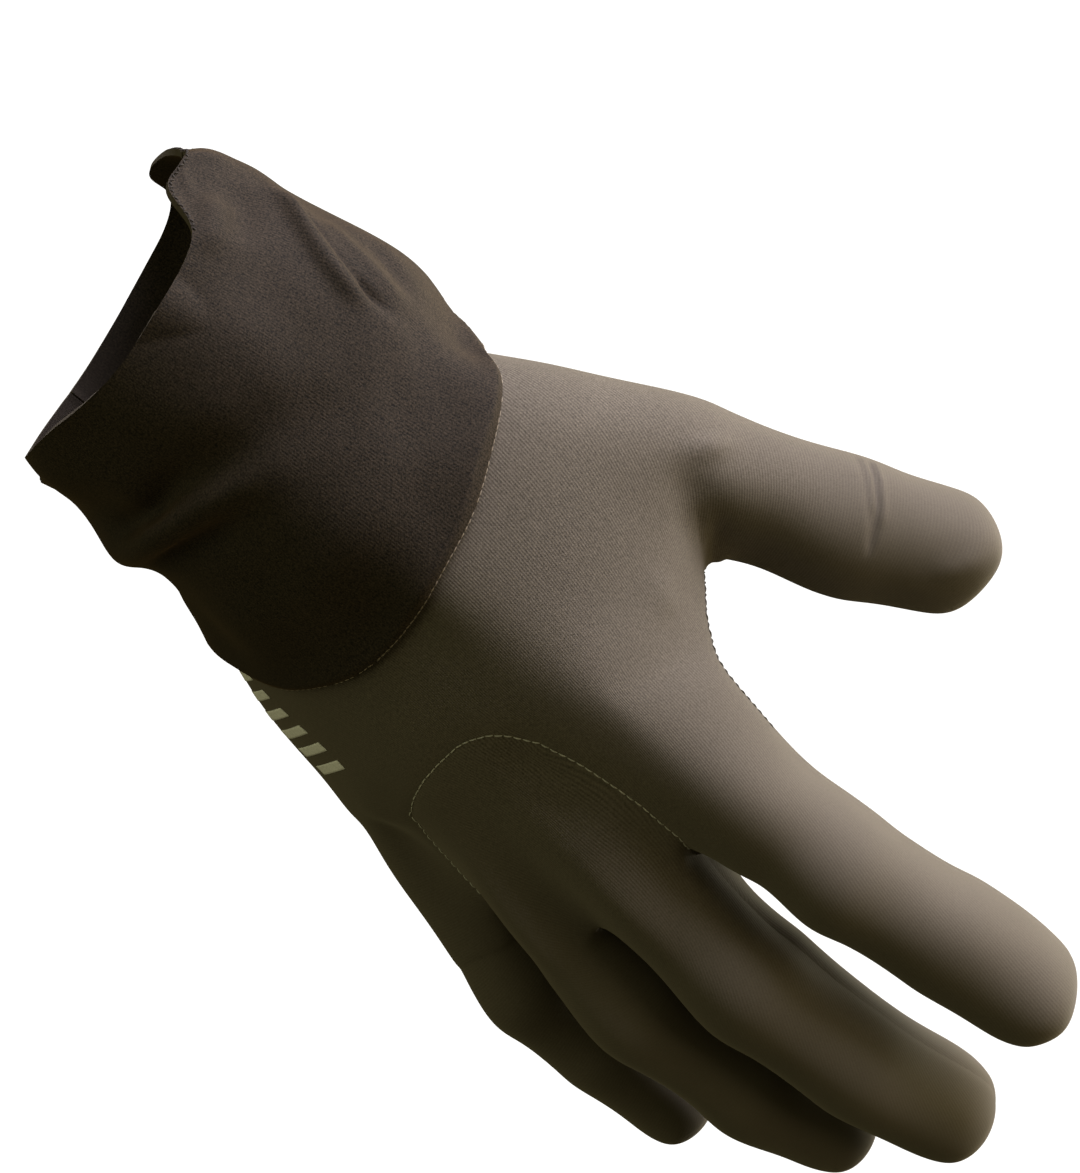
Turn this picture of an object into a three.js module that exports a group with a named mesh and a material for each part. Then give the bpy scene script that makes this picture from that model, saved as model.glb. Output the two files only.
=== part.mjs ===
// Winter cycling glove for the right hand, in millimetres, +Z up.
// The origin is the centre of the cuff's opening. +X runs along the forearm's axis towards the
// fingertips, +Z towards the thumb, and +Y out of the palm, so the back of the hand looks to -Y.
//
// The hand is one smooth surface over a coarse net of quads, worked out from the tables below.
// It is cut along its seams into panels, and each panel gets its wall. The cuff is a second,
// looser tube round the wrist, whose hem laps over the panels.
import * as THREE from 'three';

// Walls, gaps and the bend of the wrist
const BODY_WALL = 2.2;
const CUFF_WALL = 1.3;
const SEAM_GAP = 0.36;
const LAP_CLEARANCE = 0.5;
const CUFF_REACH = 32;
const BODY_COLOR = 0x504b44;
const BODY_ROUGHNESS = 0.85;
const CUFF_COLOR = 0x26231f;
const CUFF_ROUGHNESS = 0.9;
const WRIST_EXTENSION = 14.9;
const WRIST_DEVIATION = 9.3;
const BEND_FROM = -12;
const BEND_TO = 20;
const SMOOTHING_LEVELS = 1;

// Fingers in the hand's own frame, whose origin is the middle of the wrist: the knuckle's place,
// the spread to the side, the bend at each joint, the length of each bone and the radius at each
// joint and at the tip. seam and far are the angles of the two side seams round the finger, from
// the thumb side (0) over the back (90).
const FINGERS = [
  { name: 'index', x: 89.1, y: 0.9, z: 28.1, spread: 4.3, bends: [14.2, 8.6, -2.9],
    bones: [43.0, 24.8, 16.4], radii: [13.1, 12.2, 11.6, 10.8], seam: -44, far: 184, web: 22 },
  { name: 'middle', x: 90.1, y: -3.4, z: 5.6, spread: -1.2, bends: [8.3, 14.2, 9.1],
    bones: [47.0, 27.6, 18.2], radii: [12.6, 11.9, 11.3, 10.5], seam: -12, far: 186, web: 24 },
  { name: 'ring', x: 83.4, y: -3.1, z: -15.0, spread: -1.8, bends: [2.5, 19.9, 14.3],
    bones: [43.9, 27.4, 18.2], radii: [12.0, 10.9, 10.4, 9.8], seam: -10, far: 188, web: 24 },
  { name: 'little', x: 76.7, y: 2.5, z: -31.2, spread: -7.8, bends: [-4.0, 23.2, 9.8],
    bones: [35.3, 20.5, 16.5], radii: [10.8, 10.2, 9.7, 9.3], seam: -8, far: 196, web: 22 },
];
const FINGER_WIDTH = 0.9;
const FINGER_DEPTH = 1.07;

// Rings along a finger: the bone, the place along it from joint to joint, and a factor on the
// radius. The last ring is past the tip's centre, by its share of the tip's radius.
const FINGER_RINGS = [
  { bone: 0, at: 0.76, swell: 0.97 },
  { bone: 1, at: 0.0, swell: 1.03 },
  { bone: 1, at: 0.3, swell: 0.99 },
  { bone: 1, at: 0.72, swell: 0.99 },
  { bone: 2, at: 0.0, swell: 1.02 },
  { bone: 2, at: 0.55, swell: 1.0 },
];
const TIP_RINGS = [
  { past: 0.1, swell: 0.99 },
  { past: 0.62, swell: 0.78 },
];
const TIP_END = 1.0;

// The thumb: its joints in the hand's frame with their radii, and the way its back looks. Its
// rings lean by their slant, so that they reach further along on the side of the web.
const THUMB_JOINTS = [
  { name: 'root', x: 22.7, y: 12.5, z: 22.7, radius: 16.8 },
  { name: 'knuckle', x: 56.9, y: 35.0, z: 42.3, radius: 14.0 },
  { name: 'joint', x: 83.5, y: 52.0, z: 50.8, radius: 13.1 },
  { name: 'tip', x: 96.9, y: 61.3, z: 55.9, radius: 11.9 },
];
const THUMB_BACK = new THREE.Vector3(0.12, -0.66, 0.74);
const THUMB_RINGS = [
  { bone: 0, at: 0.86, swell: 1.04, slant: 13 },
  { bone: 1, at: 0.16, swell: 0.99, slant: 7 },
  { bone: 1, at: 0.6, swell: 0.98, slant: 2 },
  { bone: 2, at: 0.0, swell: 1.03, slant: 0 },
  { bone: 2, at: 0.5, swell: 1.0, slant: 0 },
];
const THUMB_ANGLES = [-8, 42, 90, 138, 188, 230, 270, 310];

// Where the thumb leaves the palm, a ring of eight points in the hand's frame
const THUMB_BASE = [
  { name: 'root', x: 16, y: 24, z: 32.5 },
  { name: 'root_back', x: 20, y: 5, z: 39.5 },
  { name: 'side_back', x: 44, y: 6, z: 43.5 },
  { name: 'web_back', x: 70, y: 6, z: 42 },
  { name: 'web', x: 78, y: 21, z: 39.5 },
  { name: 'web_palm', x: 67, y: 25, z: 27 },
  { name: 'ball', x: 42, y: 32, z: 15 },
  { name: 'root_palm', x: 20, y: 27, z: 12 },
];
// Between the web and the forefinger's knuckle the hand's thumb side reaches out like this
const WEB_EDGE = [
  { row: 'arch', x: 84.5, y: 17, z: 40 },
  { row: 'knuckles', x: 92, y: 13, z: 39.5 },
];

// Sections of the palm from the sleeve's end to the row above the knuckles: the place along the
// hand, how far the thumb's edge reaches beyond it, the middle and half width across, the height
// of the back and of the palm over the middle, and the palm's hollow
const PALM_ROWS = [
  { name: 'sleeve', x: -14, reach: 0, z: 0.8, half: 29.7, y: 0, back: 22, palm: 22, hollow: 0 },
  { name: 'wrist', x: 3, reach: 0, z: 0.8, half: 30.7, y: 1, back: 22, palm: 23, hollow: 0 },
  { name: 'heel', x: 21, reach: 1, z: -0.2, half: 33.7, y: 1, back: 20, palm: 22, hollow: 2 },
  { name: 'middle', x: 40, reach: 5, z: -0.5, half: 37.5, y: 0, back: 18.5, palm: 19, hollow: 4 },
  { name: 'web', x: 56, reach: 14, z: 0, half: 39, y: 0, back: 17.5, palm: 17, hollow: 5 },
  { name: 'arch', x: 69, reach: 0, z: 0.5, half: 39.5, y: 0, back: 17, palm: 16, hollow: 5 },
];
// The forward reach of the arch's row in each of its columns, from the thumb's side round the back
// to the little finger's side and back through the palm. The seam arches over the knuckles here.
const ARCH_REACH = [16, 11, 11, 9, 1.5, 0.4, 2, 4, -1.5, -3, -4, -4, -4, -3, -1, 1, 3, 5, 7, 9];
const BACK_COLUMNS = [0.95, 0.76, 0.44, 0.18, -0.07, -0.31, -0.54, -0.74, -0.91];
const PALM_COLUMNS = [-0.9, -0.74, -0.54, -0.31, -0.07, 0.18, 0.42, 0.6, 0.75];
const THUMB_SIDE_COLUMN = 0.88;
const SECTION_POWER = 2.4;
const VALLEY = 0.9;
const CROTCH_DEPTH = 2.5;

// The cuff: the angles of its eight sides, its loose radius in each section, and where its rim
// and its hem lie round the wrist, with the length before the hem that lies on the hand
const CUFF_SIDES = [
  { name: 'top', angle: -43 },
  { name: 'side', angle: 2 },
  { name: 'face', angle: 47 },
  { name: 'back', angle: 92 },
  { name: 'bottom', angle: 137 },
  { name: 'edge', angle: 182 },
  { name: 'under', angle: 227 },
  { name: 'palm', angle: 272 },
];
const CUFF_SECTIONS = [
  { x: -42, top: 33.5, side: 31, face: 28, back: 26, bottom: 27, edge: 28, under: 28, palm: 31 },
  { x: -33, top: 37.5, side: 34, face: 28, back: 26, bottom: 27, edge: 28.5, under: 29, palm: 33 },
  { x: -20, top: 39.5, side: 35, face: 29.6, back: 26, bottom: 30.5, edge: 32, under: 30, palm: 33 },
  { x: -8, top: 39.5, side: 36.2, face: 30.8, back: 26, bottom: 35, edge: 35, under: 31, palm: 33 },
  { x: 4, top: 40.5, side: 37, face: 30, back: 26, bottom: 32, edge: 32, under: 31, palm: 32 },
  { x: 16, top: 41, side: 37, face: 31, back: 25, bottom: 29, edge: 32, under: 30, palm: 30 },
  { x: 30, top: 40, side: 37, face: 31, back: 24, bottom: 29, edge: 34, under: 30, palm: 30 },
];
const CUFF_EDGES = [
  { angle: -43, rim: -41, hem: 12.5, lies: 4 },
  { angle: -28, rim: -37.5, hem: 15.5, lies: 5 },
  { angle: -13, rim: -31.5, hem: 24.5, lies: 9 },
  { angle: 11, rim: -27, hem: 38.5, lies: 14 },
  { angle: 37, rim: -26, hem: 45.5, lies: 18 },
  { angle: 56, rim: -26, hem: 48, lies: 20 },
  { angle: 80, rim: -28, hem: 48.5, lies: 20 },
  { angle: 103, rim: -30.5, hem: 47.5, lies: 20 },
  { angle: 120, rim: -31.5, hem: 45, lies: 20 },
  { angle: 137, rim: -32, hem: 40, lies: 18 },
  { angle: 154, rim: -32.5, hem: 28, lies: 14 },
  { angle: 180, rim: -33, hem: 17, lies: 10 },
  { angle: 215, rim: -33, hem: 9, lies: 8 },
  { angle: 270, rim: -35, hem: 9, lies: 8 },
  { angle: 295, rim: -38.5, hem: 10.5, lies: 6 },
];
// Folds of the cuff as lines from one place to another, with the height, the half width and the
// length over which the line ends
const CUFF_FOLDS = [
  { name: 'pulled_ridge', fromX: -23, fromAngle: -30, toX: 4, toAngle: -5,
    height: 1.5, width: 4, fade: 7 },
  { name: 'second_ridge', fromX: -8, fromAngle: -32, toX: 8, toAngle: -14,
    height: 1.1, width: 3.6, fade: 6 },
  { name: 'pulled_valley', fromX: -12, fromAngle: 8, toX: 8, toAngle: 22,
    height: -1, width: 6, fade: 8 },
  { name: 'lower_ridge', fromX: -5, fromAngle: 124, toX: 9, toAngle: 58,
    height: 1.6, width: 4.2, fade: 7 },
  { name: 'lower_valley', fromX: -14, fromAngle: 134, toX: -4, toAngle: 88,
    height: -1.4, width: 4.5, fade: 7 },
];
const MM_PER_DEGREE = 0.6;
const CUFF_ROWS = 13;
const CUFF_COLUMNS = 42;
const CUFF_BACK_COLUMNS = 25;
const THUMB_SEAM_ANGLE = { rim: -30, hem: -46, drift: 4 };
const LITTLE_SEAM_ANGLE = 196;
const LAP_PROBES = [[0, 0], [0, 3.5], [0, -3.5], [3.5, 0], [-1.5, 0]];
const HAND_REACH = 46;
const LEAST_FACING = 0.6;

const ARCH_ROW = 5;
const KNUCKLE_ROW = 6;
const PATCH_ROW = 2;
const RING = 20;
const FIRST_BACK = 1;
const LITTLE_SIDE = 10;

const rad = THREE.MathUtils.degToRad;
const lerp = THREE.MathUtils.lerp;

// The forearm's axis in the hand's frame gives the turn from the hand's frame to the glove's
function handTurn() {
  const extension = rad(WRIST_EXTENSION);
  const deviation = rad(WRIST_DEVIATION);
  const axis = new THREE.Vector3(
    Math.cos(extension) * Math.cos(deviation), Math.sin(extension), Math.sin(deviation)).normalize();
  const up = new THREE.Vector3(0, 0, 1).addScaledVector(axis, -axis.z).normalize();
  const side = new THREE.Vector3().crossVectors(up, axis);
  const forearm = new THREE.Matrix4().makeBasis(axis, side, up);
  return new THREE.Quaternion().setFromRotationMatrix(forearm).invert();
}

const HAND_TURN = handTurn();

// From the hand's frame to the glove's. Behind the palm the sections turn back into the
// forearm's line, so that sleeve and cuff follow the bent wrist.
function toGlove(point) {
  const bend = 1 - THREE.MathUtils.smoothstep(point.x, BEND_FROM, BEND_TO);
  const turn = HAND_TURN.clone().slerp(new THREE.Quaternion(), bend);
  return point.clone().applyQuaternion(turn).add(new THREE.Vector3(CUFF_REACH, 0, 0));
}

// The net: its points, as the places that the smooth surface passes through, and its quads
const net = { points: [], faces: [] };

function addPoint(place) {
  net.points.push(toGlove(place));
  return net.points.length - 1;
}

function addFace(corners, panel) {
  net.faces.push({ corners, panel });
}

function sectionHeight(share) {
  return (1 - Math.abs(share) ** SECTION_POWER) ** (1 / SECTION_POWER);
}

function palmRow(row, index) {
  const columns = [
    { share: THUMB_SIDE_COLUMN, side: 1 },
    ...BACK_COLUMNS.map((share) => ({ share, side: -1 })),
    { share: -1, side: 1 },
    ...PALM_COLUMNS.map((share) => ({ share, side: 1 })),
  ];
  return columns.map(({ share, side }, column) => {
    const height = side < 0 ? row.back : row.palm;
    const dish = side < 0 ? 0 : row.hollow * (1 - share * share) ** 2;
    const y = row.y + side * (height * sectionHeight(share) - dish);
    const reach = index === ARCH_ROW ? ARCH_REACH[column] : row.reach * Math.max(share, 0) ** 2;
    return addPoint(new THREE.Vector3(row.x + reach, y, row.z + row.half * share));
  });
}

// A finger as a bent axis: at a bone and a share along it, the centre, the way along the finger,
// the way of its back and of its thumb side, and the radius
function fingerAt(finger, bone, share) {
  const spread = new THREE.Quaternion().setFromAxisAngle(new THREE.Vector3(0, 1, 0), rad(-finger.spread));
  const angleOf = (index) => finger.bends.slice(0, index + 1).reduce((sum, bend) => sum + bend, 0);
  const along = (angle) => new THREE.Vector3(Math.cos(rad(angle)), Math.sin(rad(angle)), 0)
    .applyQuaternion(spread);
  const centre = new THREE.Vector3(finger.x, finger.y, finger.z);
  for (let index = 0; index < bone; index += 1) {
    centre.addScaledVector(along(angleOf(index)), finger.bones[index]);
  }
  centre.addScaledVector(along(angleOf(bone)), finger.bones[bone] * share);
  const atJoint = share === 0 && bone > 0;
  const angle = atJoint ? (angleOf(bone) + angleOf(bone - 1)) / 2 : angleOf(bone);
  const back = along(angle - 90);
  const side = new THREE.Vector3(0, 0, 1).applyQuaternion(spread);
  const radius = lerp(finger.radii[bone], finger.radii[bone + 1], share);
  return { centre, way: along(angle), back, side, radius };
}

function fingerAngles(finger) {
  const { seam, far } = finger;
  const back = [0.25, 0.5, 0.75].map((share) => lerp(seam, far, share));
  const palm = [0.25, 0.5, 0.75].map((share) => lerp(far, seam + 360, share));
  return [seam, ...back, far, ...palm];
}

function aroundFinger(spot, angle, swell = 1) {
  const width = spot.radius * FINGER_WIDTH * swell;
  const depth = spot.radius * FINGER_DEPTH * swell;
  return spot.centre.clone()
    .addScaledVector(spot.side, width * Math.cos(rad(angle)))
    .addScaledVector(spot.back, depth * Math.sin(rad(angle)));
}

// A row across all four fingers, at their knuckles or at the crotches. Neighbours share a column,
// which lies a little deeper than their backs.
function knuckleRow(distance) {
  const spots = FINGERS.map((finger) => fingerAt(finger, 0, distance(finger) / finger.bones[0]));
  const columns = FINGERS.map((finger, index) => fingerAngles(finger)
    .map((angle) => aroundFinger(spots[index], angle)));
  const last = FINGERS.length - 1;
  const shared = (index, own, other) => {
    const middle = columns[index][own].clone().lerp(columns[index + 1][other], 0.5);
    const centre = spots[index].centre.clone().lerp(spots[index + 1].centre, 0.5);
    return centre.lerp(middle, VALLEY);
  };
  const back = [columns[0][1], columns[0][2]];
  const palm = [columns[last][5], columns[last][6]];
  for (let index = 0; index < last; index += 1) {
    back.push(shared(index, 3, 1), columns[index + 1][2]);
    palm.push(shared(last - index - 1, 5, 7), columns[last - index - 1][6]);
  }
  back.push(columns[last][3]);
  palm.push(columns[0][7]);
  return [columns[0][0], ...back, columns[last][4], ...palm].map((place) => addPoint(place));
}

// Quads between two rings of the same count, with the panel of each column
function addTube(lower, upper, panelOf) {
  const count = lower.length;
  for (let column = 0; column < count; column += 1) {
    const panel = panelOf(column);
    const next = (column + 1) % count;
    if (panel) addFace([lower[column], lower[next], upper[next], upper[column]], panel);
  }
}

// A closed end of four quads round the tip's point, split between back and palm
function addCap(ring, tip, backPanel) {
  for (let quarter = 0; quarter < 4; quarter += 1) {
    const first = quarter * 2;
    const corners = [tip, ring[first], ring[first + 1], ring[(first + 2) % 8]];
    addFace(corners, quarter < 2 ? backPanel : 'palm_panel');
  }
}

function addDigit(base, spots, angles, placeAt, tipPlace, backPanel) {
  let lower = base;
  for (const spot of spots) {
    const ring = angles.map((angle) => addPoint(placeAt(spot, angle)));
    addTube(lower, ring, (column) => (column < 4 ? backPanel : 'palm_panel'));
    lower = ring;
  }
  addCap(lower, addPoint(tipPlace), backPanel);
}

function buildPalm() {
  const rows = PALM_ROWS.map(palmRow);
  rows.push(knuckleRow(() => 0), knuckleRow((finger) => finger.web));
  const patch = [
    [PATCH_ROW, 0], [PATCH_ROW, 1], [PATCH_ROW + 1, 1], [PATCH_ROW + 2, 1],
    [PATCH_ROW + 2, 0], [PATCH_ROW + 2, RING - 1], [PATCH_ROW + 1, RING - 1], [PATCH_ROW, RING - 1],
  ];
  const thumbBase = patch.map(([row, column], index) => {
    const { x, y, z } = THUMB_BASE[index];
    net.points[rows[row][column]].copy(toGlove(new THREE.Vector3(x, y, z)));
    return rows[row][column];
  });
  [ARCH_ROW, KNUCKLE_ROW].forEach((row, index) => {
    const { x, y, z } = WEB_EDGE[index];
    net.points[rows[row][0]].copy(toGlove(new THREE.Vector3(x, y, z)));
  });
  for (let row = 0; row + 1 < rows.length; row += 1) {
    const inPatch = row === PATCH_ROW || row === PATCH_ROW + 1;
    addTube(rows[row], rows[row + 1], (column) => {
      if (inPatch && (column === 0 || column === RING - 1)) return null;
      if (column >= LITTLE_SIDE) return 'palm_panel';
      const overFingers = column >= FIRST_BACK + 2 && column < FIRST_BACK + 6;
      return row >= ARCH_ROW && overFingers ? 'finger_panel' : 'back_panel';
    });
  }
  return { crotch: rows[rows.length - 1], thumbBase };
}

function buildFingers(crotch) {
  const between = [crotch[0]];
  for (let index = 0; index + 1 < FINGERS.length; index += 1) {
    const back = net.points[crotch[FIRST_BACK + 2 + 2 * index]];
    const palm = net.points[crotch[RING - 3 - 2 * index]];
    const place = back.clone().lerp(palm, 0.5);
    const way = new THREE.Vector3(1, 0, 0).applyQuaternion(HAND_TURN);
    net.points.push(place.addScaledVector(way, -CROTCH_DEPTH));
    between.push(net.points.length - 1);
  }
  between.push(crotch[LITTLE_SIDE]);
  FINGERS.forEach((finger, index) => {
    const back = [0, 1, 2].map((step) => crotch[FIRST_BACK + 2 * index + step]);
    const palm = [2, 1, 0].map((step) => crotch[RING - 1 - 2 * index - step]);
    const base = [between[index], ...back, between[index + 1], ...palm];
    const spots = FINGER_RINGS.map(({ bone, at, swell }) => {
      const spot = fingerAt(finger, bone, at);
      return { ...spot, radius: spot.radius * swell };
    });
    const tip = fingerAt(finger, 2, 1);
    const tipRadius = finger.radii[3];
    for (const { past, swell } of TIP_RINGS) {
      const centre = tip.centre.clone().addScaledVector(tip.way, past * tipRadius);
      spots.push({ ...tip, centre, radius: tipRadius * swell });
    }
    const end = tip.centre.clone().addScaledVector(tip.way, TIP_END * tipRadius);
    const inner = index === 1 || index === 2;
    addDigit(base, spots, fingerAngles(finger), aroundFinger, end, inner ? 'finger_panel' : 'back_panel');
  });
}

function thumbAt(bone, share) {
  const joints = THUMB_JOINTS.map(({ x, y, z }) => new THREE.Vector3(x, y, z));
  const wayOf = (index) => joints[index + 1].clone().sub(joints[index]).normalize();
  const way = wayOf(Math.min(bone, 2));
  if (share === 0 && bone > 0) way.add(wayOf(bone - 1)).normalize();
  const back = THUMB_BACK.clone().addScaledVector(way, -THUMB_BACK.dot(way)).normalize();
  const side = new THREE.Vector3().crossVectors(back, way);
  const centre = joints[bone].clone().lerp(joints[bone + 1], share);
  const radius = lerp(THUMB_JOINTS[bone].radius, THUMB_JOINTS[bone + 1].radius, share);
  return { centre, way, back, side, radius };
}

function aroundThumb(spot, angle) {
  const towardsWeb = (1 - Math.cos(rad(angle))) / 2;
  return spot.centre.clone()
    .addScaledVector(spot.way, (spot.slant ?? 0) * towardsWeb)
    .addScaledVector(spot.side, spot.radius * Math.cos(rad(angle)))
    .addScaledVector(spot.back, spot.radius * Math.sin(rad(angle)));
}

function buildThumb(base) {
  const spots = THUMB_RINGS.map(({ bone, at, swell, slant }) => {
    const spot = thumbAt(bone, at);
    return { ...spot, slant, radius: spot.radius * swell };
  });
  const tip = thumbAt(2, 1);
  for (const { past, swell } of TIP_RINGS) {
    const centre = tip.centre.clone().addScaledVector(tip.way, past * tip.radius);
    spots.push({ ...tip, centre, radius: tip.radius * swell });
  }
  const end = tip.centre.clone().addScaledVector(tip.way, TIP_END * tip.radius);
  addDigit(base, spots, THUMB_ANGLES, aroundThumb, end, 'back_panel');
}

// Smooth surfaces over a net of quads
function edgeKey(a, b) {
  return a < b ? `${a}_${b}` : `${b}_${a}`;
}

function neighbours(points, faces) {
  const around = points.map(() => ({ edges: new Map(), diagonals: [] }));
  for (const { corners } of faces) {
    corners.forEach((corner, index) => {
      const next = corners[(index + 1) % 4];
      const previous = corners[(index + 3) % 4];
      for (const other of [next, previous]) {
        around[corner].edges.set(other, (around[corner].edges.get(other) ?? 0) + 1);
      }
      around[corner].diagonals.push(corners[(index + 2) % 4]);
    });
  }
  return around;
}

// The place on the smooth surface that belongs to each point of the net
function limitPlaces(points, faces) {
  const around = neighbours(points, faces);
  return points.map((point, index) => {
    const { edges, diagonals } = around[index];
    const open = [...edges].filter(([, uses]) => uses === 1).map(([other]) => other);
    const place = new THREE.Vector3();
    if (open.length === 2) {
      return place.addScaledVector(point, 2 / 3)
        .addScaledVector(points[open[0]], 1 / 6).addScaledVector(points[open[1]], 1 / 6);
    }
    const count = edges.size;
    place.addScaledVector(point, count * count);
    for (const other of edges.keys()) place.addScaledVector(points[other], 4);
    for (const other of diagonals) place.add(points[other]);
    return place.divideScalar(count * (count + 5));
  });
}

// Moves the net's points out until the smooth surface passes through the wanted places
function fitNet(wanted, faces, rounds) {
  const points = wanted.map((point) => point.clone());
  for (let round = 0; round < rounds; round += 1) {
    const places = limitPlaces(points, faces);
    points.forEach((point, index) => point.add(wanted[index]).sub(places[index]));
  }
  return points;
}

function subdivide({ points, faces }) {
  const made = points.map((point) => point.clone());
  const add = (point) => made.push(point) - 1;
  const mean = (list) => list.reduce((sum, p) => sum.add(p), new THREE.Vector3()).divideScalar(list.length);
  const centres = faces.map(({ corners }) => add(mean(corners.map((corner) => points[corner]))));
  const edges = new Map();
  faces.forEach(({ corners }, face) => corners.forEach((corner, index) => {
    const other = corners[(index + 1) % 4];
    const key = edgeKey(corner, other);
    if (!edges.has(key)) edges.set(key, { ends: [corner, other], faces: [] });
    edges.get(key).faces.push(face);
  }));
  const touching = points.map(() => ({ edges: [], faces: new Set() }));
  for (const edge of edges.values()) {
    const ends = edge.ends.map((end) => points[end]);
    edge.middle = mean(ends);
    const sides = edge.faces.length === 2 ? edge.faces.map((face) => made[centres[face]]) : [];
    edge.index = add(mean([...ends, ...sides]));
    for (const end of edge.ends) {
      touching[end].edges.push(edge);
      edge.faces.forEach((face) => touching[end].faces.add(face));
    }
  }
  points.forEach((point, index) => {
    const open = touching[index].edges.filter((edge) => edge.faces.length === 1);
    if (open.length) {
      made[index] = point.clone().multiplyScalar(0.5)
        .addScaledVector(open[0].middle, 0.25).addScaledVector(open[1].middle, 0.25);
      return;
    }
    const count = touching[index].edges.length;
    const faceMean = mean([...touching[index].faces].map((face) => made[centres[face]]));
    const edgeMean = mean(touching[index].edges.map((edge) => edge.middle));
    made[index] = faceMean.addScaledVector(edgeMean, 2)
      .addScaledVector(point, count - 3).divideScalar(count);
  });
  const parts = faces.flatMap(({ corners, panel }, face) => corners.map((corner, index) => {
    const after = edges.get(edgeKey(corner, corners[(index + 1) % 4])).index;
    const before = edges.get(edgeKey(corners[(index + 3) % 4], corner)).index;
    return { corners: [corner, after, centres[face], before], panel };
  }));
  return { points: made, faces: parts };
}

function pointNormals(points, faces) {
  const normals = points.map(() => new THREE.Vector3());
  for (const { corners } of faces) {
    const [a, b, c, d] = corners.map((corner) => points[corner]);
    const normal = new THREE.Vector3().crossVectors(c.clone().sub(a), d.clone().sub(b));
    corners.forEach((corner) => normals[corner].add(normal));
  }
  return normals.map((normal) => normal.normalize());
}

// Rounds the corners of the seam between two panels along its own line
function relaxSeam(surface, first, second, rounds) {
  const uses = new Map();
  for (const { corners, panel } of surface.faces) {
    corners.forEach((corner, index) => {
      const key = edgeKey(corner, corners[(index + 1) % 4]);
      if (!uses.has(key)) uses.set(key, { ends: [corner, corners[(index + 1) % 4]], panels: new Set() });
      uses.get(key).panels.add(panel);
    });
  }
  const line = new Map();
  for (const { ends, panels } of uses.values()) {
    if (!panels.has(first) || !panels.has(second)) continue;
    ends.forEach((end, index) => line.set(end, [...(line.get(end) ?? []), ends[1 - index]]));
  }
  for (let round = 0; round < rounds; round += 1) {
    const moved = [...line].filter(([, others]) => others.length === 2).map(([index, others]) => [
      index,
      surface.points[index].clone().multiplyScalar(0.5)
        .addScaledVector(surface.points[others[0]], 0.25).addScaledVector(surface.points[others[1]], 0.25),
    ]);
    moved.forEach(([index, place]) => surface.points[index].copy(place));
  }
}

// One closed wall from the faces of a panel: the outside, the inside and the edges between them.
// Along its edges the panel draws back by half the gap, square to the seam.
function wallGeometry(points, normals, faces, thickness, gap) {
  const before = new Map();
  const after = new Map();
  const open = new Map();
  for (const { corners } of faces) {
    corners.forEach((from, side) => {
      const to = corners[(side + 1) % 4];
      const key = edgeKey(from, to);
      if (open.has(key)) open.delete(key);
      else open.set(key, [from, to]);
    });
  }
  for (const [from, to] of open.values()) {
    after.set(from, to);
    before.set(to, from);
  }
  const index = new Map();
  const outside = [];
  const inside = [];
  for (const point of new Set(faces.flatMap(({ corners }) => corners))) {
    const outer = points[point].clone();
    if (after.has(point)) {
      const coming = outer.clone().sub(points[before.get(point)]).normalize();
      const going = points[after.get(point)].clone().sub(outer).normalize();
      const along = coming.clone().add(going).normalize();
      const inwards = new THREE.Vector3().crossVectors(normals[point], along).normalize();
      outer.addScaledVector(inwards, gap / 2 / Math.max(along.dot(going), 0.6));
    }
    index.set(point, outside.length);
    outside.push(outer);
    inside.push(outer.clone().addScaledVector(normals[point], -thickness));
  }
  const count = outside.length;
  const triangles = [];
  const quad = (a, b, c, d) => triangles.push(a, b, c, a, c, d);
  for (const { corners } of faces) {
    const [a, b, c, d] = corners.map((corner) => index.get(corner));
    quad(a, b, c, d);
    quad(d + count, c + count, b + count, a + count);
  }
  for (const [start, end] of open.values()) {
    const from = index.get(start);
    const to = index.get(end);
    // Both panels of a seam split the edge's twisted quads along the same diagonal
    if (start < end) quad(to, from, from + count, to + count);
    else quad(from, from + count, to + count, to);
  }
  const geometry = new THREE.BufferGeometry();
  geometry.setAttribute('position', new THREE.Float32BufferAttribute(
    [...outside, ...inside].flatMap((point) => point.toArray()), 3));
  geometry.setIndex(triangles);
  geometry.computeVertexNormals();
  return geometry;
}

const { crotch, thumbBase } = buildPalm();
buildFingers(crotch);
buildThumb(thumbBase);

let hand = { points: fitNet(net.points, net.faces, 6), faces: net.faces };
for (let level = 0; level < SMOOTHING_LEVELS; level += 1) hand = subdivide(hand);
hand = { points: limitPlaces(hand.points, hand.faces), faces: hand.faces };
relaxSeam(hand, 'back_panel', 'finger_panel', 5);
hand.normals = pointNormals(hand.points, hand.faces);

// The cuff's places are told in the hand's frame by x and by the angle round the wrist, from the
// thumb side (0) over the back (90) and the little finger's side (180) to the palm (270).
function roundWrist(x, angle, radius) {
  return toGlove(new THREE.Vector3(x, -radius * Math.sin(rad(angle)), radius * Math.cos(rad(angle))));
}

function smoothAcross(values, places, place) {
  const last = places.length - 1;
  let index = places.findIndex((other) => other > place) - 1;
  if (index === -2) index = last - 1;
  index = THREE.MathUtils.clamp(index, 0, last - 1);
  const share = THREE.MathUtils.clamp((place - places[index]) / (places[index + 1] - places[index]), 0, 1);
  const [a, b, c, d] = [-1, 0, 1, 2].map((step) => values[THREE.MathUtils.clamp(index + step, 0, last)]);
  return 0.5 * (2 * b + (c - a) * share + (2 * a - 5 * b + 4 * c - d) * share ** 2
    + (3 * b - a - 3 * c + d) * share ** 3);
}

function smoothRound(values, places, angle) {
  const turn = ((angle - places[0]) % 360 + 360) % 360 + places[0];
  const count = places.length;
  const wrapped = [-2, -1, ...places.keys(), count, count + 1];
  const at = (index) => ((index % count) + count) % count;
  return smoothAcross(
    wrapped.map((index) => values[at(index)]),
    wrapped.map((index) => places[at(index)] + 360 * Math.floor(index / count)), turn);
}

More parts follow.
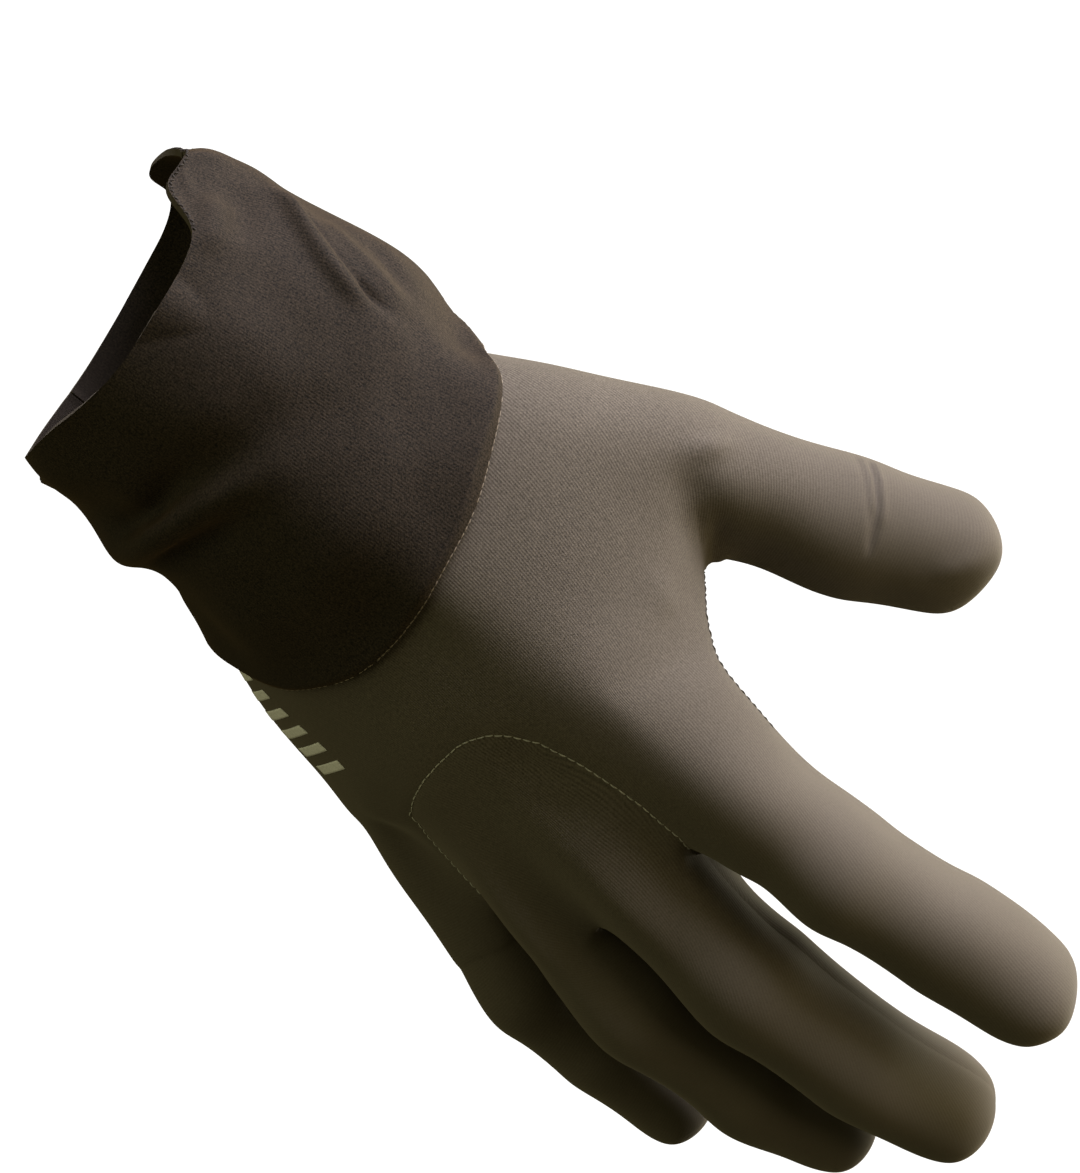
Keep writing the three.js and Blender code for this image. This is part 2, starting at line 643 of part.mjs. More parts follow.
function cuffLooseRadius(x, angle) {
  const rings = CUFF_SECTIONS.map((section) => smoothRound(
    CUFF_SIDES.map(({ name }) => section[name]), CUFF_SIDES.map((side) => side.angle), angle));
  return smoothAcross(rings, CUFF_SECTIONS.map((section) => section.x), x);
}

function edgeAt(name, angle) {
  return smoothRound(CUFF_EDGES.map((edge) => edge[name]), CUFF_EDGES.map((edge) => edge.angle), angle);
}

// How far out the cuff lies when it rests on the hand's surface at an angle round the axis
function radiusOnHand(caster, meshes, x, angle) {
  const start = roundWrist(x, angle, 0);
  const way = roundWrist(x, angle, 1).sub(start).normalize();
  caster.set(start, way);
  caster.far = HAND_REACH;
  const hit = caster.intersectObjects(meshes, false).pop();
  if (!hit) return 0;
  const facing = Math.abs(hit.face.normal.dot(way));
  return hit.distance + (LAP_CLEARANCE + CUFF_WALL) / Math.max(facing, LEAST_FACING);
}

function lappedRadius(caster, meshes, x, angle) {
  return Math.max(...LAP_PROBES.map(([dx, dAngle]) => radiusOnHand(caster, meshes, x + dx, angle + dAngle)));
}

function foldHeight(x, angle) {
  return CUFF_FOLDS.reduce((sum, fold) => {
    const dx = fold.toX - fold.fromX;
    const dAngle = (fold.toAngle - fold.fromAngle) * MM_PER_DEGREE;
    const px = x - fold.fromX;
    const pAngle = (((angle - fold.fromAngle + 540) % 360) - 180) * MM_PER_DEGREE;
    const length = Math.hypot(dx, dAngle);
    const share = (px * dx + pAngle * dAngle) / length ** 2;
    const across = (px * dAngle - pAngle * dx) / length;
    const past = Math.max(-share, share - 1, 0) * length;
    return sum + fold.height * Math.exp(-((across / fold.width) ** 2) - (past / fold.fade) ** 2);
  }, 0);
}

function cuffAngle(row, column) {
  const drift = Math.min(row / CUFF_ROWS * THUMB_SEAM_ANGLE.drift, 1);
  const thumbSeam = lerp(THUMB_SEAM_ANGLE.rim, THUMB_SEAM_ANGLE.hem, drift);
  if (column < CUFF_BACK_COLUMNS) return lerp(thumbSeam, LITTLE_SEAM_ANGLE, column / CUFF_BACK_COLUMNS);
  const share = (column - CUFF_BACK_COLUMNS) / (CUFF_COLUMNS - CUFF_BACK_COLUMNS);
  return lerp(LITTLE_SEAM_ANGLE, thumbSeam + 360, share);
}

function buildCuff(handMeshes) {
  const caster = new THREE.Raycaster();
  const points = [];
  const faces = [];
  const rings = [];
  for (let row = 0; row <= CUFF_ROWS; row += 1) {
    const ring = [];
    for (let column = 0; column < CUFF_COLUMNS; column += 1) {
      const angle = cuffAngle(row, column);
      const hem = edgeAt('hem', angle);
      const x = lerp(edgeAt('rim', angle), hem, row / CUFF_ROWS);
      const onHand = lappedRadius(caster, handMeshes, x, angle);
      const loose = Math.max(cuffLooseRadius(x, angle) + foldHeight(x, angle), onHand);
      const lies = edgeAt('lies', angle);
      const lying = THREE.MathUtils.smoothstep(x, hem - lies, hem - lies / 4);
      ring.push(points.push(roundWrist(x, angle, lerp(loose, onHand, lying))) - 1);
    }
    rings.push(ring);
  }
  for (let row = 0; row < CUFF_ROWS; row += 1) {
    for (let column = 0; column < CUFF_COLUMNS; column += 1) {
      const next = (column + 1) % CUFF_COLUMNS;
      const corners = [rings[row][column], rings[row][next], rings[row + 1][next], rings[row + 1][column]];
      // The faces' diagonals alternate, so that the wall has no grain
      if ((row + column) % 2) corners.push(corners.shift());
      faces.push({ corners, panel: column < CUFF_BACK_COLUMNS ? 'cuff_back' : 'cuff_palm' });
    }
  }
  return { points, faces };
}

const glove = new THREE.Group();

function addPanel(name, surface, thickness, color, roughness) {
  const faces = surface.faces.filter(({ panel }) => panel === name);
  const geometry = wallGeometry(surface.points, surface.normals, faces, thickness, SEAM_GAP);
  const material = new THREE.MeshStandardMaterial(
    { color, roughness, metalness: 0, side: THREE.DoubleSide });
  const mesh = new THREE.Mesh(geometry, material);
  mesh.name = name;
  glove.add(mesh);
  return mesh;
}

const handMeshes = ['back_panel', 'finger_panel', 'palm_panel']
  .map((name) => addPanel(name, hand, BODY_WALL, BODY_COLOR, BODY_ROUGHNESS));

const cuff = buildCuff(handMeshes);
cuff.normals = pointNormals(cuff.points, cuff.faces);
['cuff_back', 'cuff_palm'].forEach((name) => addPanel(name, cuff, CUFF_WALL, CUFF_COLOR, CUFF_ROUGHNESS));

export default glove;
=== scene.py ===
"""A winter cycling glove of knit-faced foam with a stretch-knit cuff, built round its CAD frame.

The CAD walls give each panel its cut and its place. Their outsides are joined to one skin, made
smooth, folded and creased, and cut apart again along the seams. Each panel then gets its wall, its
cut edges and its stitches. Folds and seams that a camera at the glove's back sees are told by
their place in that camera's picture, and cast from there onto the cloth.
"""

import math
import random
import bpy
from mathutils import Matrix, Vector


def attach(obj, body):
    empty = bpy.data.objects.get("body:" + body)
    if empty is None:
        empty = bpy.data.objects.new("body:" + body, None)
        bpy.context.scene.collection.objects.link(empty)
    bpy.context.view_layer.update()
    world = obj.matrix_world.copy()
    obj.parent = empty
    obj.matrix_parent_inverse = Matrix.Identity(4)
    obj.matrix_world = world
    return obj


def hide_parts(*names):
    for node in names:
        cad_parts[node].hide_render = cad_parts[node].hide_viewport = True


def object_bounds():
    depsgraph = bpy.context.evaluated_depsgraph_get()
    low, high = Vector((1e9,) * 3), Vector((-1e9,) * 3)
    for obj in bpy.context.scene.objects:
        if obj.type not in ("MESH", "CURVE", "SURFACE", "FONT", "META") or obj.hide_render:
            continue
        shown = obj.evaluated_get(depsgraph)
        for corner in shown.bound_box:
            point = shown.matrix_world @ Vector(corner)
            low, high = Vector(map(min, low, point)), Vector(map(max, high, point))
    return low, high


bl_info = {
    "name": "Cycling glove",
    "version": (1, 0, 0),
    "blender": (4, 5, 0),
    "location": "View3D > Sidebar > Glove",
    "description": "Builds the cloth, seams and stitches of a cycling glove over its frame",
    "category": "Object",
}

import bmesh
import bpy
import numpy as np
from mathutils import Matrix, Vector, noise
from mathutils.bvhtree import BVHTree
from mathutils.kdtree import KDTree

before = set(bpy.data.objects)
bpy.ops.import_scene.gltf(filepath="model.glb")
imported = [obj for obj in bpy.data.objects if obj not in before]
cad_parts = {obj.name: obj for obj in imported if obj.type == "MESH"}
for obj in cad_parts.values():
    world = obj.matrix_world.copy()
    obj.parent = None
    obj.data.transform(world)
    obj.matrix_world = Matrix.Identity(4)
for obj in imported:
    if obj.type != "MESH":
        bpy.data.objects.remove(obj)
CAD_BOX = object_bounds()

MM = 0.001

# The panels in the order of their material indices on the joined skin
HAND_PANELS = ("back_panel", "finger_panel", "palm_panel")
CUFF_PANELS = ("cuff_back", "cuff_palm")
BACK, FINGERS, PALM = range(3)

# Seams, as pairs of the panels that meet in them
ARCH = {frozenset((BACK, FINGERS))}
HAND_SIDES = {frozenset((BACK, PALM)), frozenset((FINGERS, PALM))}
CUFF_SIDES = {frozenset((0, 1))}

BODY_WALL = 2.2 * MM
CUFF_WALL = 1.3 * MM

# Points this near are one, an edge this near the wall's thickness belongs to its rim, and borders of
# panels this near meet in a seam
MERGE_DISTANCE = 0.001 * MM
WALL_TOLERANCE = 0.0005 * MM
SEAM_REACH = 0.9 * MM

# One unit of a flat pattern's UV map
CLOTH_UNIT = 100 * MM

# The camera at the glove's back: its picture's size and focal length in pixels, its place in m, and
# the ways to the right and up in its picture
PICTURE_WIDTH = 1080
PICTURE_HEIGHT = 1173
PICTURE_FOCAL = 5450
SENSOR_MM = 36
CAMERA_PLACE = Vector((0.038574, -0.729825, 0.690493))
CAMERA_RIGHT = Vector((0.832488, 0.345399, 0.433201))
CAMERA_UP = Vector((-0.55148, 0.591704, 0.588009))
CAMERA_LOOK = CAMERA_UP.cross(CAMERA_RIGHT)


def table(columns, *rows):
    """Named rows of values under named columns. Each row starts with its own name."""
    return {row[0]: dict(zip(columns.split(), row[1:], strict=True)) for row in rows}


# Places where the cloth stands a little off its CAD form, as a pixel of the camera's picture, the
# step in pixels right and down that the cloth takes there, and the reach of that step in mm
HAND_PULLS = table(
    "at by reach",
    ("thumb_tip", (985, 553), (12, 1), 8),
    ("thumb_web", (744, 556), (1, -15), 12),
    ("web_corner", (708, 557), (6, 16), 3.4),
    ("index_web", (699, 612), (-7, 1), 5.5),
    ("index_side", (744, 710), (4, -3), 7),
    ("index_top", (1024, 920), (4, -5), 10),
    ("index_end", (1060, 1022), (4, 4), 6),
    ("index_crotch", (755, 880), (3.2, -4.8), 9),
    ("index_low", (870, 955), (2, -3), 14),
    ("middle_top", (800, 945), (3, -3), 11),
    ("little_root", (396, 868), (-6, 3), 10),
    ("little_side", (620, 1098), (4, -6), 14),
)

CUFF_PULLS = table(
    "at by reach",
    ("far_mouth", (181, 163), (-25, 6), 7),
    ("near_mouth", (206, 190), (-36, -4), 7),
    ("top_mouth", (208, 162), (1, -10), 6),
    ("top_pull", (408, 270), (6, -7), 11),
    ("hem_corner", (484, 342), (-10, 7), 6),
    ("lower_mouth", (110, 524), (16, -7), 8),
    ("mouth_edge", (48, 470), (-6, 6), 7),
    ("lower_side", (188, 596), (-5, 2), 5),
)

# Places where the cloth lies flatter than its CAD form, with the reach in mm
REST_ROUNDS = 10
HAND_REST = table(
    "at reach passes",
    ("knuckle_rest", (520, 785), 17, 12),
    ("index_rest", (610, 720), 20, 10),
    ("ring_rest", (440, 830), 10, 4),
    ("ridge_rest", (618, 698), 7, 3),
)

# Folds and creases as routes in the camera's picture, in pixels, with the height of the rounded
# line over the cloth and its half width in mm, and the share of the line that fades at each end
HAND_FOLDS = table(
    "height width fade route",
    ("thumb_fold", -1.7, 4.0, 0.4, [(684, 446), (689, 484), (696, 520), (702, 556)]),
    ("thumb_bump", 1.0, 4.0, 0.4, [(702, 432), (711, 446), (716, 462)]),
    ("web_tension", 0.6, 2.2, 0.4, [(652, 566), (662, 590), (674, 622)]),
    ("knuckle_press", -1.5, 7.0, 0.35, [(476, 748), (530, 784), (600, 840)]),
    ("arch_ridge", 0.8, 2.0, 0.4, [(482, 777), (525, 784), (560, 795), (598, 811)]),
    ("middle_flank", -0.5, 2.6, 0.4, [(728, 892), (760, 918), (812, 962), (872, 1012)]),
    ("arch_valley", -0.5, 1.6, 0.4, [(470, 762), (500, 756), (540, 764), (590, 786)]),
)

# The arched seam over the knuckles, as a route in the picture
ARCH_SEAM = [
    (409, 818), (413, 801), (419, 787), (430, 774), (442, 761), (453, 751), (465, 743), (478, 738),
    (491, 737), (506, 738), (518, 741), (530, 745), (547, 751), (564, 759), (586, 771), (605, 783),
    (622, 794), (640, 806), (656, 820), (672, 834), (684, 843)]

# The web between thumb and forefinger, whose seam shows its stitches
WEB = (690, 650)
WEB_REACH = 22 * MM

# Creases of the back panel alone, told as the folds are
BACK_CREASES = table(
    "height width fade route",
    ("thumb_crease", -0.35, 0.65, 0.2, [(857, 455), (865, 475), (869, 500), (871, 524), (868, 556)]),
    ("thumb_crease_ridge", 0.25, 0.7, 0.2, [(861, 456), (870, 478), (873, 502), (874, 520)]),
    ("thumb_crease_far", -0.55, 0.65, 0.2, [(869, 459), (876, 480), (878, 506), (875, 532), (866, 562)]),
    ("thumb_crease_far_ridge", 0.3, 0.8, 0.2, [(874, 461), (882, 484), (884, 508), (881, 532)]),
    ("thumb_tip_ridge", 0.55, 2.6, 0.45, [(922, 576), (956, 570), (994, 555)]),
    ("thumb_root_crease", -0.35, 0.8, 0.4, [(697, 500), (700, 530), (703, 556)]),
    ("web_line", 0.25, 0.7, 0.4, [(655, 570), (663, 592), (673, 620)]),
)

CUFF_FOLDS = table(
    "height width fade route",
    ("pulled_ridge", 1.6, 2.0, 0.25, [(266, 178), (290, 202), (308, 230), (328, 260), (352, 290),
     (376, 312)]),
    ("pulled_valley", -1.7, 1.1, 0.3, [(292, 196), (312, 224), (328, 250), (348, 274), (372, 296),
     (406, 326)]),
    ("second_ridge", 0.9, 1.8, 0.3, [(318, 214), (342, 240), (366, 264), (392, 292), (418, 322)]),
    ("second_valley", -0.9, 2.2, 0.35, [(360, 236), (384, 258), (406, 284), (424, 308)]),
    ("mouth_seam", 0.5, 0.9, 0.2, [(194, 202), (185, 180), (181, 162), (192, 154), (212, 157),
     (234, 166)]),
    ("mouth_ridge", 1.0, 3.0, 0.35, [(206, 186), (214, 222), (206, 262)]),
    ("mouth_valley", -0.9, 3.0, 0.35, [(232, 180), (246, 214), (244, 250)]),
    ("lower_ridge", 2.3, 3.4, 0.35, [(116, 556), (142, 545), (168, 531), (198, 512), (227, 494),
     (262, 470)]),
    ("lower_valley", -2.0, 2.2, 0.35, [(104, 534), (130, 526), (155, 511), (184, 489)]),
    ("lower_under", -1.0, 2.6, 0.35, [(150, 566), (180, 552), (212, 536), (246, 512)]),
)

# The corner of the cuff's mouth on the thumb's side, whose edge is overcast
MOUTH_CORNER = (196, 166)
CORNER_REACH = 17 * MM
CORNER_INSET = 0.6 * MM

# The print along the hand's outer side: slanted bars between two places of the picture
PRINT_START = (243, 676)
PRINT_END = (330, 768)
PRINT_BARS = 6
PRINT_LENGTH = 8.5 * MM
PRINT_WIDTH = 2.3 * MM
PRINT_SLANT = math.radians(24)
PRINT_LIFT = 0.1 * MM
PRINT_FILM = 0.12 * MM

# How smooth each cloth is made, in rounds of subdivision, and the size of its slow wandering, which
# is stronger on the cuff by the share
HAND_LEVELS = 2
CREASED_LEVELS = 1
CUFF_LEVELS = 3
HAND_RUFFLE_SIZE = 16 * MM
CUFF_RUFFLE_SIZE = 14 * MM
CUFF_RUFFLE_SHARE = 1.5

# The hollow along each seam, which is shallower at the hand's sides, and the slide of the arched seam
SEAM_WIDTH = 1.0 * MM
SIDE_SEAM_SHARE = 0.4
ARCH_REACH = 6 * MM

# How far the cuff's outside stays off the hand, how steeply it may rise from its hem on, and how far
# down the hand is felt for
CUFF_CLEARANCE = CUFF_WALL + 0.2 * MM
CUFF_RISE = 0.9
CUFF_FEEL = 14 * MM

# A fold's influence ends at this many of its half widths
FOLD_END = 4

# Faces that meet in a sharper bend than this keep their edge
EDGE_ANGLE = math.radians(50)

# Stitches: their spacing, length, thickness and height over the cloth in mm, how far they lean to one
# side and the other in turn, in radians, and the share of them that shows
STITCHES = table(
    "pitch length thick lift lean share",
    ("arch_thread", 1.8, 1.9, 0.28, 0.12, 0.0, 1.0),
    ("web_thread", 1.6, 2.0, 0.34, 0.1, 0.5, 1.0),
    ("hem_thread", 1.4, 1.9, 0.32, -0.05, 0.0, 0.93),
    ("cuff_thread", 1.5, 2.2, 0.42, 0.15, 0.8, 1.0),
    ("mouth_thread", 1.0, 1.3, 0.45, 0.1, 0.7, 1.0),
)

# The faces round a stitch, how many thicknesses its ends dip, and how unevenly it leans and lies
STITCH_SIDES = 6
STITCH_DIP = 0.9
LEAN_SPREAD = 0.08
SIDE_SPREAD = 0.04 * MM

# Colours here and below are sRGB hex values
BODY_COLOR = "#5B544C"
CUFF_COLOR = "#29221B"

# The knit of both cloths: the spacing of its ribs and of the loops along each rib, the turn of the ribs
# from the pattern's length, how far a loop lags over its rib, and how much of the relief each makes
RIB_SPACING = 0.56 * MM
LOOP_SPACING = 0.5 * MM
RIB_TURN = math.radians(8)
LOOP_LAG = 1.2
RIB_SHARE = 0.62
LOOP_SHARE = 0.2
FIBRE_SHARE = 1.5

# The light on both cloths, which are polyester and matt
KNIT_ROUGHNESS = 0.82
KNIT_IOR = 1.5
KNIT_GLOSS = 0.25
SHEEN_ROUGHNESS = 0.45

# Slow patches of lighter and darker cloth
PATCH_SIZE = 24 * MM
PATCH_TONE = 0.3

# The knit shows less towards the tips of the thumb and forefinger, where the cloth is stretched, and
# towards the outer side, where it is rubbed flat
STRETCH_WAY = (1.0, 0.0, 0.5)
STRETCH_START = 100 * MM
STRETCH_END = 170 * MM
STRETCHED_KNIT = 0.25
RUBBED_END = -30 * MM
RUBBED_START = -2 * MM
RUBBED_KNIT = 0.3

# Polyester jersey on foam. It was knitted fine and glued flat to the foam, so its ribs show evenly, and
# it is matt and a little paler where it turns away. Its fibre is drawn coarser than real, to show.
FOAM_FACE = {"rib_relief": 1.0, "rib_tone": 0.35, "fibre_size": 0.38 * MM, "fibre_tone": 1.7,
             "relief": 0.02 * MM, "sheen": 0.3, "sheen_color": "#C9C0B4"}

# Polyester and elastane knit, brushed. The pulled fibre ends hide most of its ribs, and give it a
# mottled face and a warm bloom at its edges. Its fibre too is drawn coarser than real.
CUFF_FACE = {"rib_relief": 0.3, "rib_tone": 0.17, "fibre_size": 0.36 * MM, "fibre_tone": 5.0,
             "relief": 0.04 * MM, "sheen": 0.19, "sheen_color": "#B8905E"}

# Finishes of one colour. The foam was cut with a knife, which leaves it matt and crumbly. The threads
# are polyester, spun and twisted, so they have a grain and a soft gloss, and the fuzzier ones a sheen.
# The print is polyurethane film, pressed on hot, so it is flat, smooth and pale.
PLAIN_FINISHES = table(
    "color roughness grain sheen",
    # Lighter than the cuff: partly the foam's own grey, partly a painted highlight along the cuff's hem
    ("cut_foam_edge", "#4E463D", 0.9, 0.4 * MM, 0.0),
    # Light brown: partly the thread's own colour, partly a painted highlight of the raised hem
    ("hem_thread", "#7D7061", 0.7, 0.2 * MM, 0.3),
    ("light_thread", "#B9B8B4", 0.6, 0.2 * MM, 0.3),
    ("dark_thread", "#3A352F", 0.7, 0.2 * MM, 0.0),
    ("cuff_thread", "#453C36", 0.7, 0.2 * MM, 0.3),
    ("mouth_thread", "#29231F", 0.8, 0.2 * MM, 0.0),
    ("printed_film", "#ECECF0", 0.5, 0.5 * MM, 0.0),
)

# How the grain of these shows in tone and relief
PLAIN_IOR = 1.45
GRAIN_TONE = 0.5
GRAIN_RELIEF = 0.05 * MM
GRAIN_STRENGTH = 0.6

# The stage, in m: a floor and a backdrop of white paper that glows, and soft round lights. Each light
# stands by its shares to the right of the glove, above it and nearer the camera. Its power is in watts.
PAPER_COLOR = "#F4F3F1"
PAPER_GLOW = 1.3
FLOOR_SIZE = 12
BACKDROP_RADIUS = 5
LIGHT_DISTANCE = 1.3
LIGHT_SIZE = 1.3
LIGHTS = table(
    "right up near power color",
    ("key", 0.4, 1.0, 0.28, 40, "#F8F5FF"),
    ("side", 1.0, 0.25, 0.45, 9, "#FFEDB5"),
    ("rim", 1.0, 0.3, -0.5, 16, "#FFFAE0"),
    ("fill", -1.0, 0.1, 0.4, 3, "#FFFFC4"),
)
ROOM_COLOR = "#FFF1AA"
ROOM_STRENGTH = 0.08


def linear(color):
    """An sRGB hex value as a linear colour with alpha."""
    channels = [int(color[index:index + 2], 16) / 255 for index in (1, 3, 5)]
    return tuple(c / 12.92 if c <= 0.04045 else ((c + 0.055) / 1.055) ** 2.4 for c in channels) + (1.0,)


def smoothstep(low, high, value):
    """Rises softly from nothing at low to one at high."""
    share = np.clip((value - low) / (high - low), 0, 1)
    return share * share * (3 - 2 * share)


# Meshes

def only(obj):
    """Makes obj the one selected and active object."""
    bpy.ops.object.select_all(action="DESELECT")
    obj.select_set(True)
    bpy.context.view_layer.objects.active = obj


def add_object(name, data):
    """Puts a mesh, light or camera into the scene."""
    obj = bpy.data.objects.new(name, data)
    bpy.context.scene.collection.objects.link(obj)
    return obj


def finish_with(obj, kind, **settings):
    """Adds a modifier and applies it."""
    modifier = obj.modifiers.new(kind.title(), kind)
    for key, value in settings.items():
        setattr(modifier, key, value)
    only(obj)
    bpy.ops.object.modifier_apply(modifier=modifier.name)


def places(mesh):
    """The places of a mesh's points, a row for each."""
    flat = np.empty(len(mesh.vertices) * 3)
    mesh.vertices.foreach_get("co", flat)
    return flat.reshape(-1, 3)


def place(mesh, coords):
    """Moves a mesh's points to the given rows."""
    mesh.vertices.foreach_set("co", coords.ravel())
    mesh.update()


def normals(mesh):
    """The way out of the cloth at a mesh's points, a row for each."""
    flat = np.empty(len(mesh.vertices) * 3)
    mesh.vertex_normals.foreach_get("vector", flat)
    return flat.reshape(-1, 3)


def islands(skin):
    """The faces of a bmesh in lists of those that hang together."""
    left = set(skin.faces)
    found = []
    while left:
        queue = [left.pop()]
        island = []
        while queue:
            face = queue.pop()
            island.append(face)
            for edge in face.edges:
                for other in edge.link_faces:
                    if other in left:
                        left.remove(other)
                        queue.append(other)
        found.append(island)
    return found


def point_tree(coords, points):
    """Some points of a skin, ready to be looked up by place."""
    tree = KDTree(len(points))
    for index in points:
        tree.insert(coords[index], index)
    tree.balance()
    return tree


def lengths_along(line):
    """The way along a line to each of its points."""
    return np.r_[0, np.cumsum(np.linalg.norm(np.diff(line, axis=0), axis=1))]


def is_diagonal(edge):
    """In the CAD skins, each triangle's vertex with the fewest edges lies across from the diagonal."""
    if len(edge.link_faces) != 2:
        return False
    for face in edge.link_faces:
        across = next(vert for vert in face.verts if vert not in edge.verts)
        if len(across.link_edges) > min(len(vert.link_edges) for vert in face.verts):
            return False
    return True


def outer_skin(node, wall, index):
    """The outside of a CAD wall as a mesh of quads, with a material index."""
    skin = bmesh.new()
    skin.from_mesh(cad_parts[node].data)
    bmesh.ops.remove_doubles(skin, verts=skin.verts, dist=MERGE_DISTANCE)
    rim = {face for edge in skin.edges if abs(edge.calc_length() - wall) < WALL_TOLERANCE
           for face in edge.link_faces}
    bmesh.ops.delete(skin, geom=list(rim), context="FACES")
    sides = sorted(islands(skin), key=lambda side: sum(face.calc_area() for face in side))
    if len(sides) != 2 or len(sides[0]) != len(sides[1]):
        raise RuntimeError(f"{node}: the wall's two sides weren't found")
    bmesh.ops.delete(skin, geom=sides[0], context="FACES")
    diagonals = [edge for edge in skin.edges if is_diagonal(edge)]
    bmesh.ops.dissolve_edges(skin, edges=diagonals, use_verts=False)
    if any(len(face.verts) != 4 for face in skin.faces):
        raise RuntimeError(f"{node}: the skin isn't all quads")
    for face in skin.faces:
        face.material_index = index
        face.smooth = True
    mesh = bpy.data.meshes.new(f"{node}_skin")
    skin.to_mesh(mesh)
    skin.free()
    for _ in range(index + 1):
        mesh.materials.append(None)
    return mesh


def weld_seams(skin):
    """Joins the borders of neighbouring panels, halfway between them."""
    border = [vert for vert in skin.verts if vert.is_boundary]
    tree = point_tree([vert.co for vert in border], range(len(border)))
    panel = {vert: vert.link_faces[0].material_index for vert in border}
    target = {}
    for vert in border:
        if vert in target:
            continue
        group = [border[index] for _, index, _ in tree.find_range(vert.co, SEAM_REACH)]
        group = [other for other in group if other not in target and panel[other] != panel[vert]]
        if group:
            middle = sum((other.co for other in group), vert.co.copy()) / (len(group) + 1)
            vert.co = middle
            for other in group:
                target[other] = vert
            target[vert] = vert
    moved = {source: kept for source, kept in target.items() if source is not kept}
    bmesh.ops.weld_verts(skin, targetmap=moved)


def limit_place(vert):
    """Where the smooth surface over the net of quads lies for one of its points."""
    if vert.is_boundary:
        ends = [edge.other_vert(vert).co for edge in vert.link_edges if edge.is_boundary]
        return vert.co * (2 / 3) + (ends[0] + ends[1]) / 6
    count = len(vert.link_edges)
    total = vert.co * count * count
    for edge in vert.link_edges:
        total += edge.other_vert(vert).co * 4
    for loop in vert.link_loops:
        total += loop.link_loop_next.link_loop_next.vert.co
    return total / (count * (count + 5))


def hold_form(skin, rounds=4):
    """Moves the net out until the smooth surface passes through the places that it has now."""
    wanted = {vert: vert.co.copy() for vert in skin.verts}
    for _ in range(rounds):
        found = {vert: limit_place(vert) for vert in skin.verts}
        for vert in skin.verts:
            vert.co += wanted[vert] - found[vert]


def joined_skin(name, nodes, wall):
    """One welded skin of the outsides of several panels."""
    skin = bmesh.new()
    for index, node in enumerate(nodes):
        skin.from_mesh(outer_skin(node, wall, index))
    weld_seams(skin)
    hold_form(skin)
    mesh = bpy.data.meshes.new(name)
    skin.to_mesh(mesh)
    skin.free()
    for _ in nodes:
        mesh.materials.append(None)
    return add_object(name, mesh)


# Flat patterns

def lay_flat(obj):
    """Unwraps the panels as the cloth they are cut from. One unit of the map is 100 mm of cloth."""
    only(obj)
    bpy.ops.object.mode_set(mode="EDIT")
    bpy.ops.mesh.select_all(action="SELECT")
    net = bmesh.from_edit_mesh(obj.data)
    for edge in net.edges:
        edge.seam = len({face.material_index for face in edge.link_faces}) > 1
    bmesh.update_edit_mesh(obj.data)
    bpy.ops.uv.unwrap(method="MINIMUM_STRETCH", margin=0.02)
    bpy.ops.object.mode_set(mode="OBJECT")
    obj.data.uv_layers[0].name = "cloth"
    turn_patterns(obj.data)


def turn_patterns(mesh):
    """Sizes and turns each panel's pattern so that V runs along the glove and U across it."""
    net = bmesh.new()
    net.from_mesh(mesh)
    layer = net.loops.layers.uv.active
    for index in range(len(mesh.materials)):
        faces = [face for face in net.faces if face.material_index == index]
        loops = [loop for face in faces for loop in face.loops]
        flat = np.array([loop[layer].uv for loop in loops])
        along = np.array([loop.vert.co.x for loop in loops])
        flat -= flat.mean(axis=0)
        along -= along.mean()
        way = (flat * along[:, None]).sum(axis=0)
        turn = math.pi / 2 - math.atan2(way[1], way[0])
        area = sum(face.calc_area() for face in faces)
        corners = flat.reshape(-1, 4, 2)
        steps = np.roll(corners, -1, axis=1)
        flat_area = abs((corners[..., 0] * steps[..., 1] - corners[..., 1] * steps[..., 0]).sum() / 2)
        scale = math.sqrt(area / flat_area) / CLOTH_UNIT
        c, s = math.cos(turn) * scale, math.sin(turn) * scale
        flat = flat @ np.array([[c, s], [-s, c]])
        for loop, uv in zip(loops, flat):
            loop[layer].uv = uv
    net.to_mesh(mesh)
    net.free()


# Seams and borders

def chains(pairs):
    """Orders edges, as pairs of points, into chains of points."""
    links = {}
    for first, second in pairs:
        links.setdefault(first, []).append(second)
        links.setdefault(second, []).append(first)
    found = []
    while links:
        start = next((point for point, ends in links.items() if len(ends) != 2), next(iter(links)))
        chain = [start]
        while links.get(chain[-1]):
            following = links[chain[-1]].pop()
            links[following].remove(chain[-1])
            chain.append(following)
        links = {point: ends for point, ends in links.items() if ends}
        if len(chain) > 1:
            found.append(chain)
    return found


def edge_chains(obj, wanted):
    """The edges of a skin that pass a test, as chains of points."""
    net = bmesh.new()
    net.from_mesh(obj.data)
    pairs = [tuple(vert.index for vert in edge.verts) for edge in net.edges if wanted(edge)]
    net.free()
    return chains(pairs)


def seam_chains(obj, sides):
    """The seams between panels of the given pairs, as chains of points."""
    return edge_chains(
        obj, lambda edge: frozenset(face.material_index for face in edge.link_faces) in sides)


def cuff_border(obj, pick):
    """The chain of points along the cuff's hem, where pick is max, or along its mouth, where it is min."""
    coords = places(obj.data)
    borders = edge_chains(obj, lambda edge: edge.is_boundary)
    return pick(borders, key=lambda chain: coords[chain][:, 0].mean())


# Folds

def skin_tree(obj):
    """The faces of a skin, ready to be looked up by place or line of sight."""
    return BVHTree.FromPolygons(
        [vert.co for vert in obj.data.vertices], [face.vertices for face in obj.data.polygons])


def sight(x, y):
    """The way from the camera through a pixel of its picture."""
    way = CAMERA_LOOK * PICTURE_FOCAL
    way += CAMERA_RIGHT * (x - PICTURE_WIDTH / 2)
    way -= CAMERA_UP * (y - PICTURE_HEIGHT / 2)
    return way.normalized()


def along_route(route, steps):
    """Points at even steps along a route of straight stretches."""
    points = np.array(route, float)
    lengths = lengths_along(points)
    at = np.linspace(0, lengths[-1], steps)
    return np.stack([np.interp(at, lengths, points[:, axis]) for axis in range(points.shape[1])], axis=1)


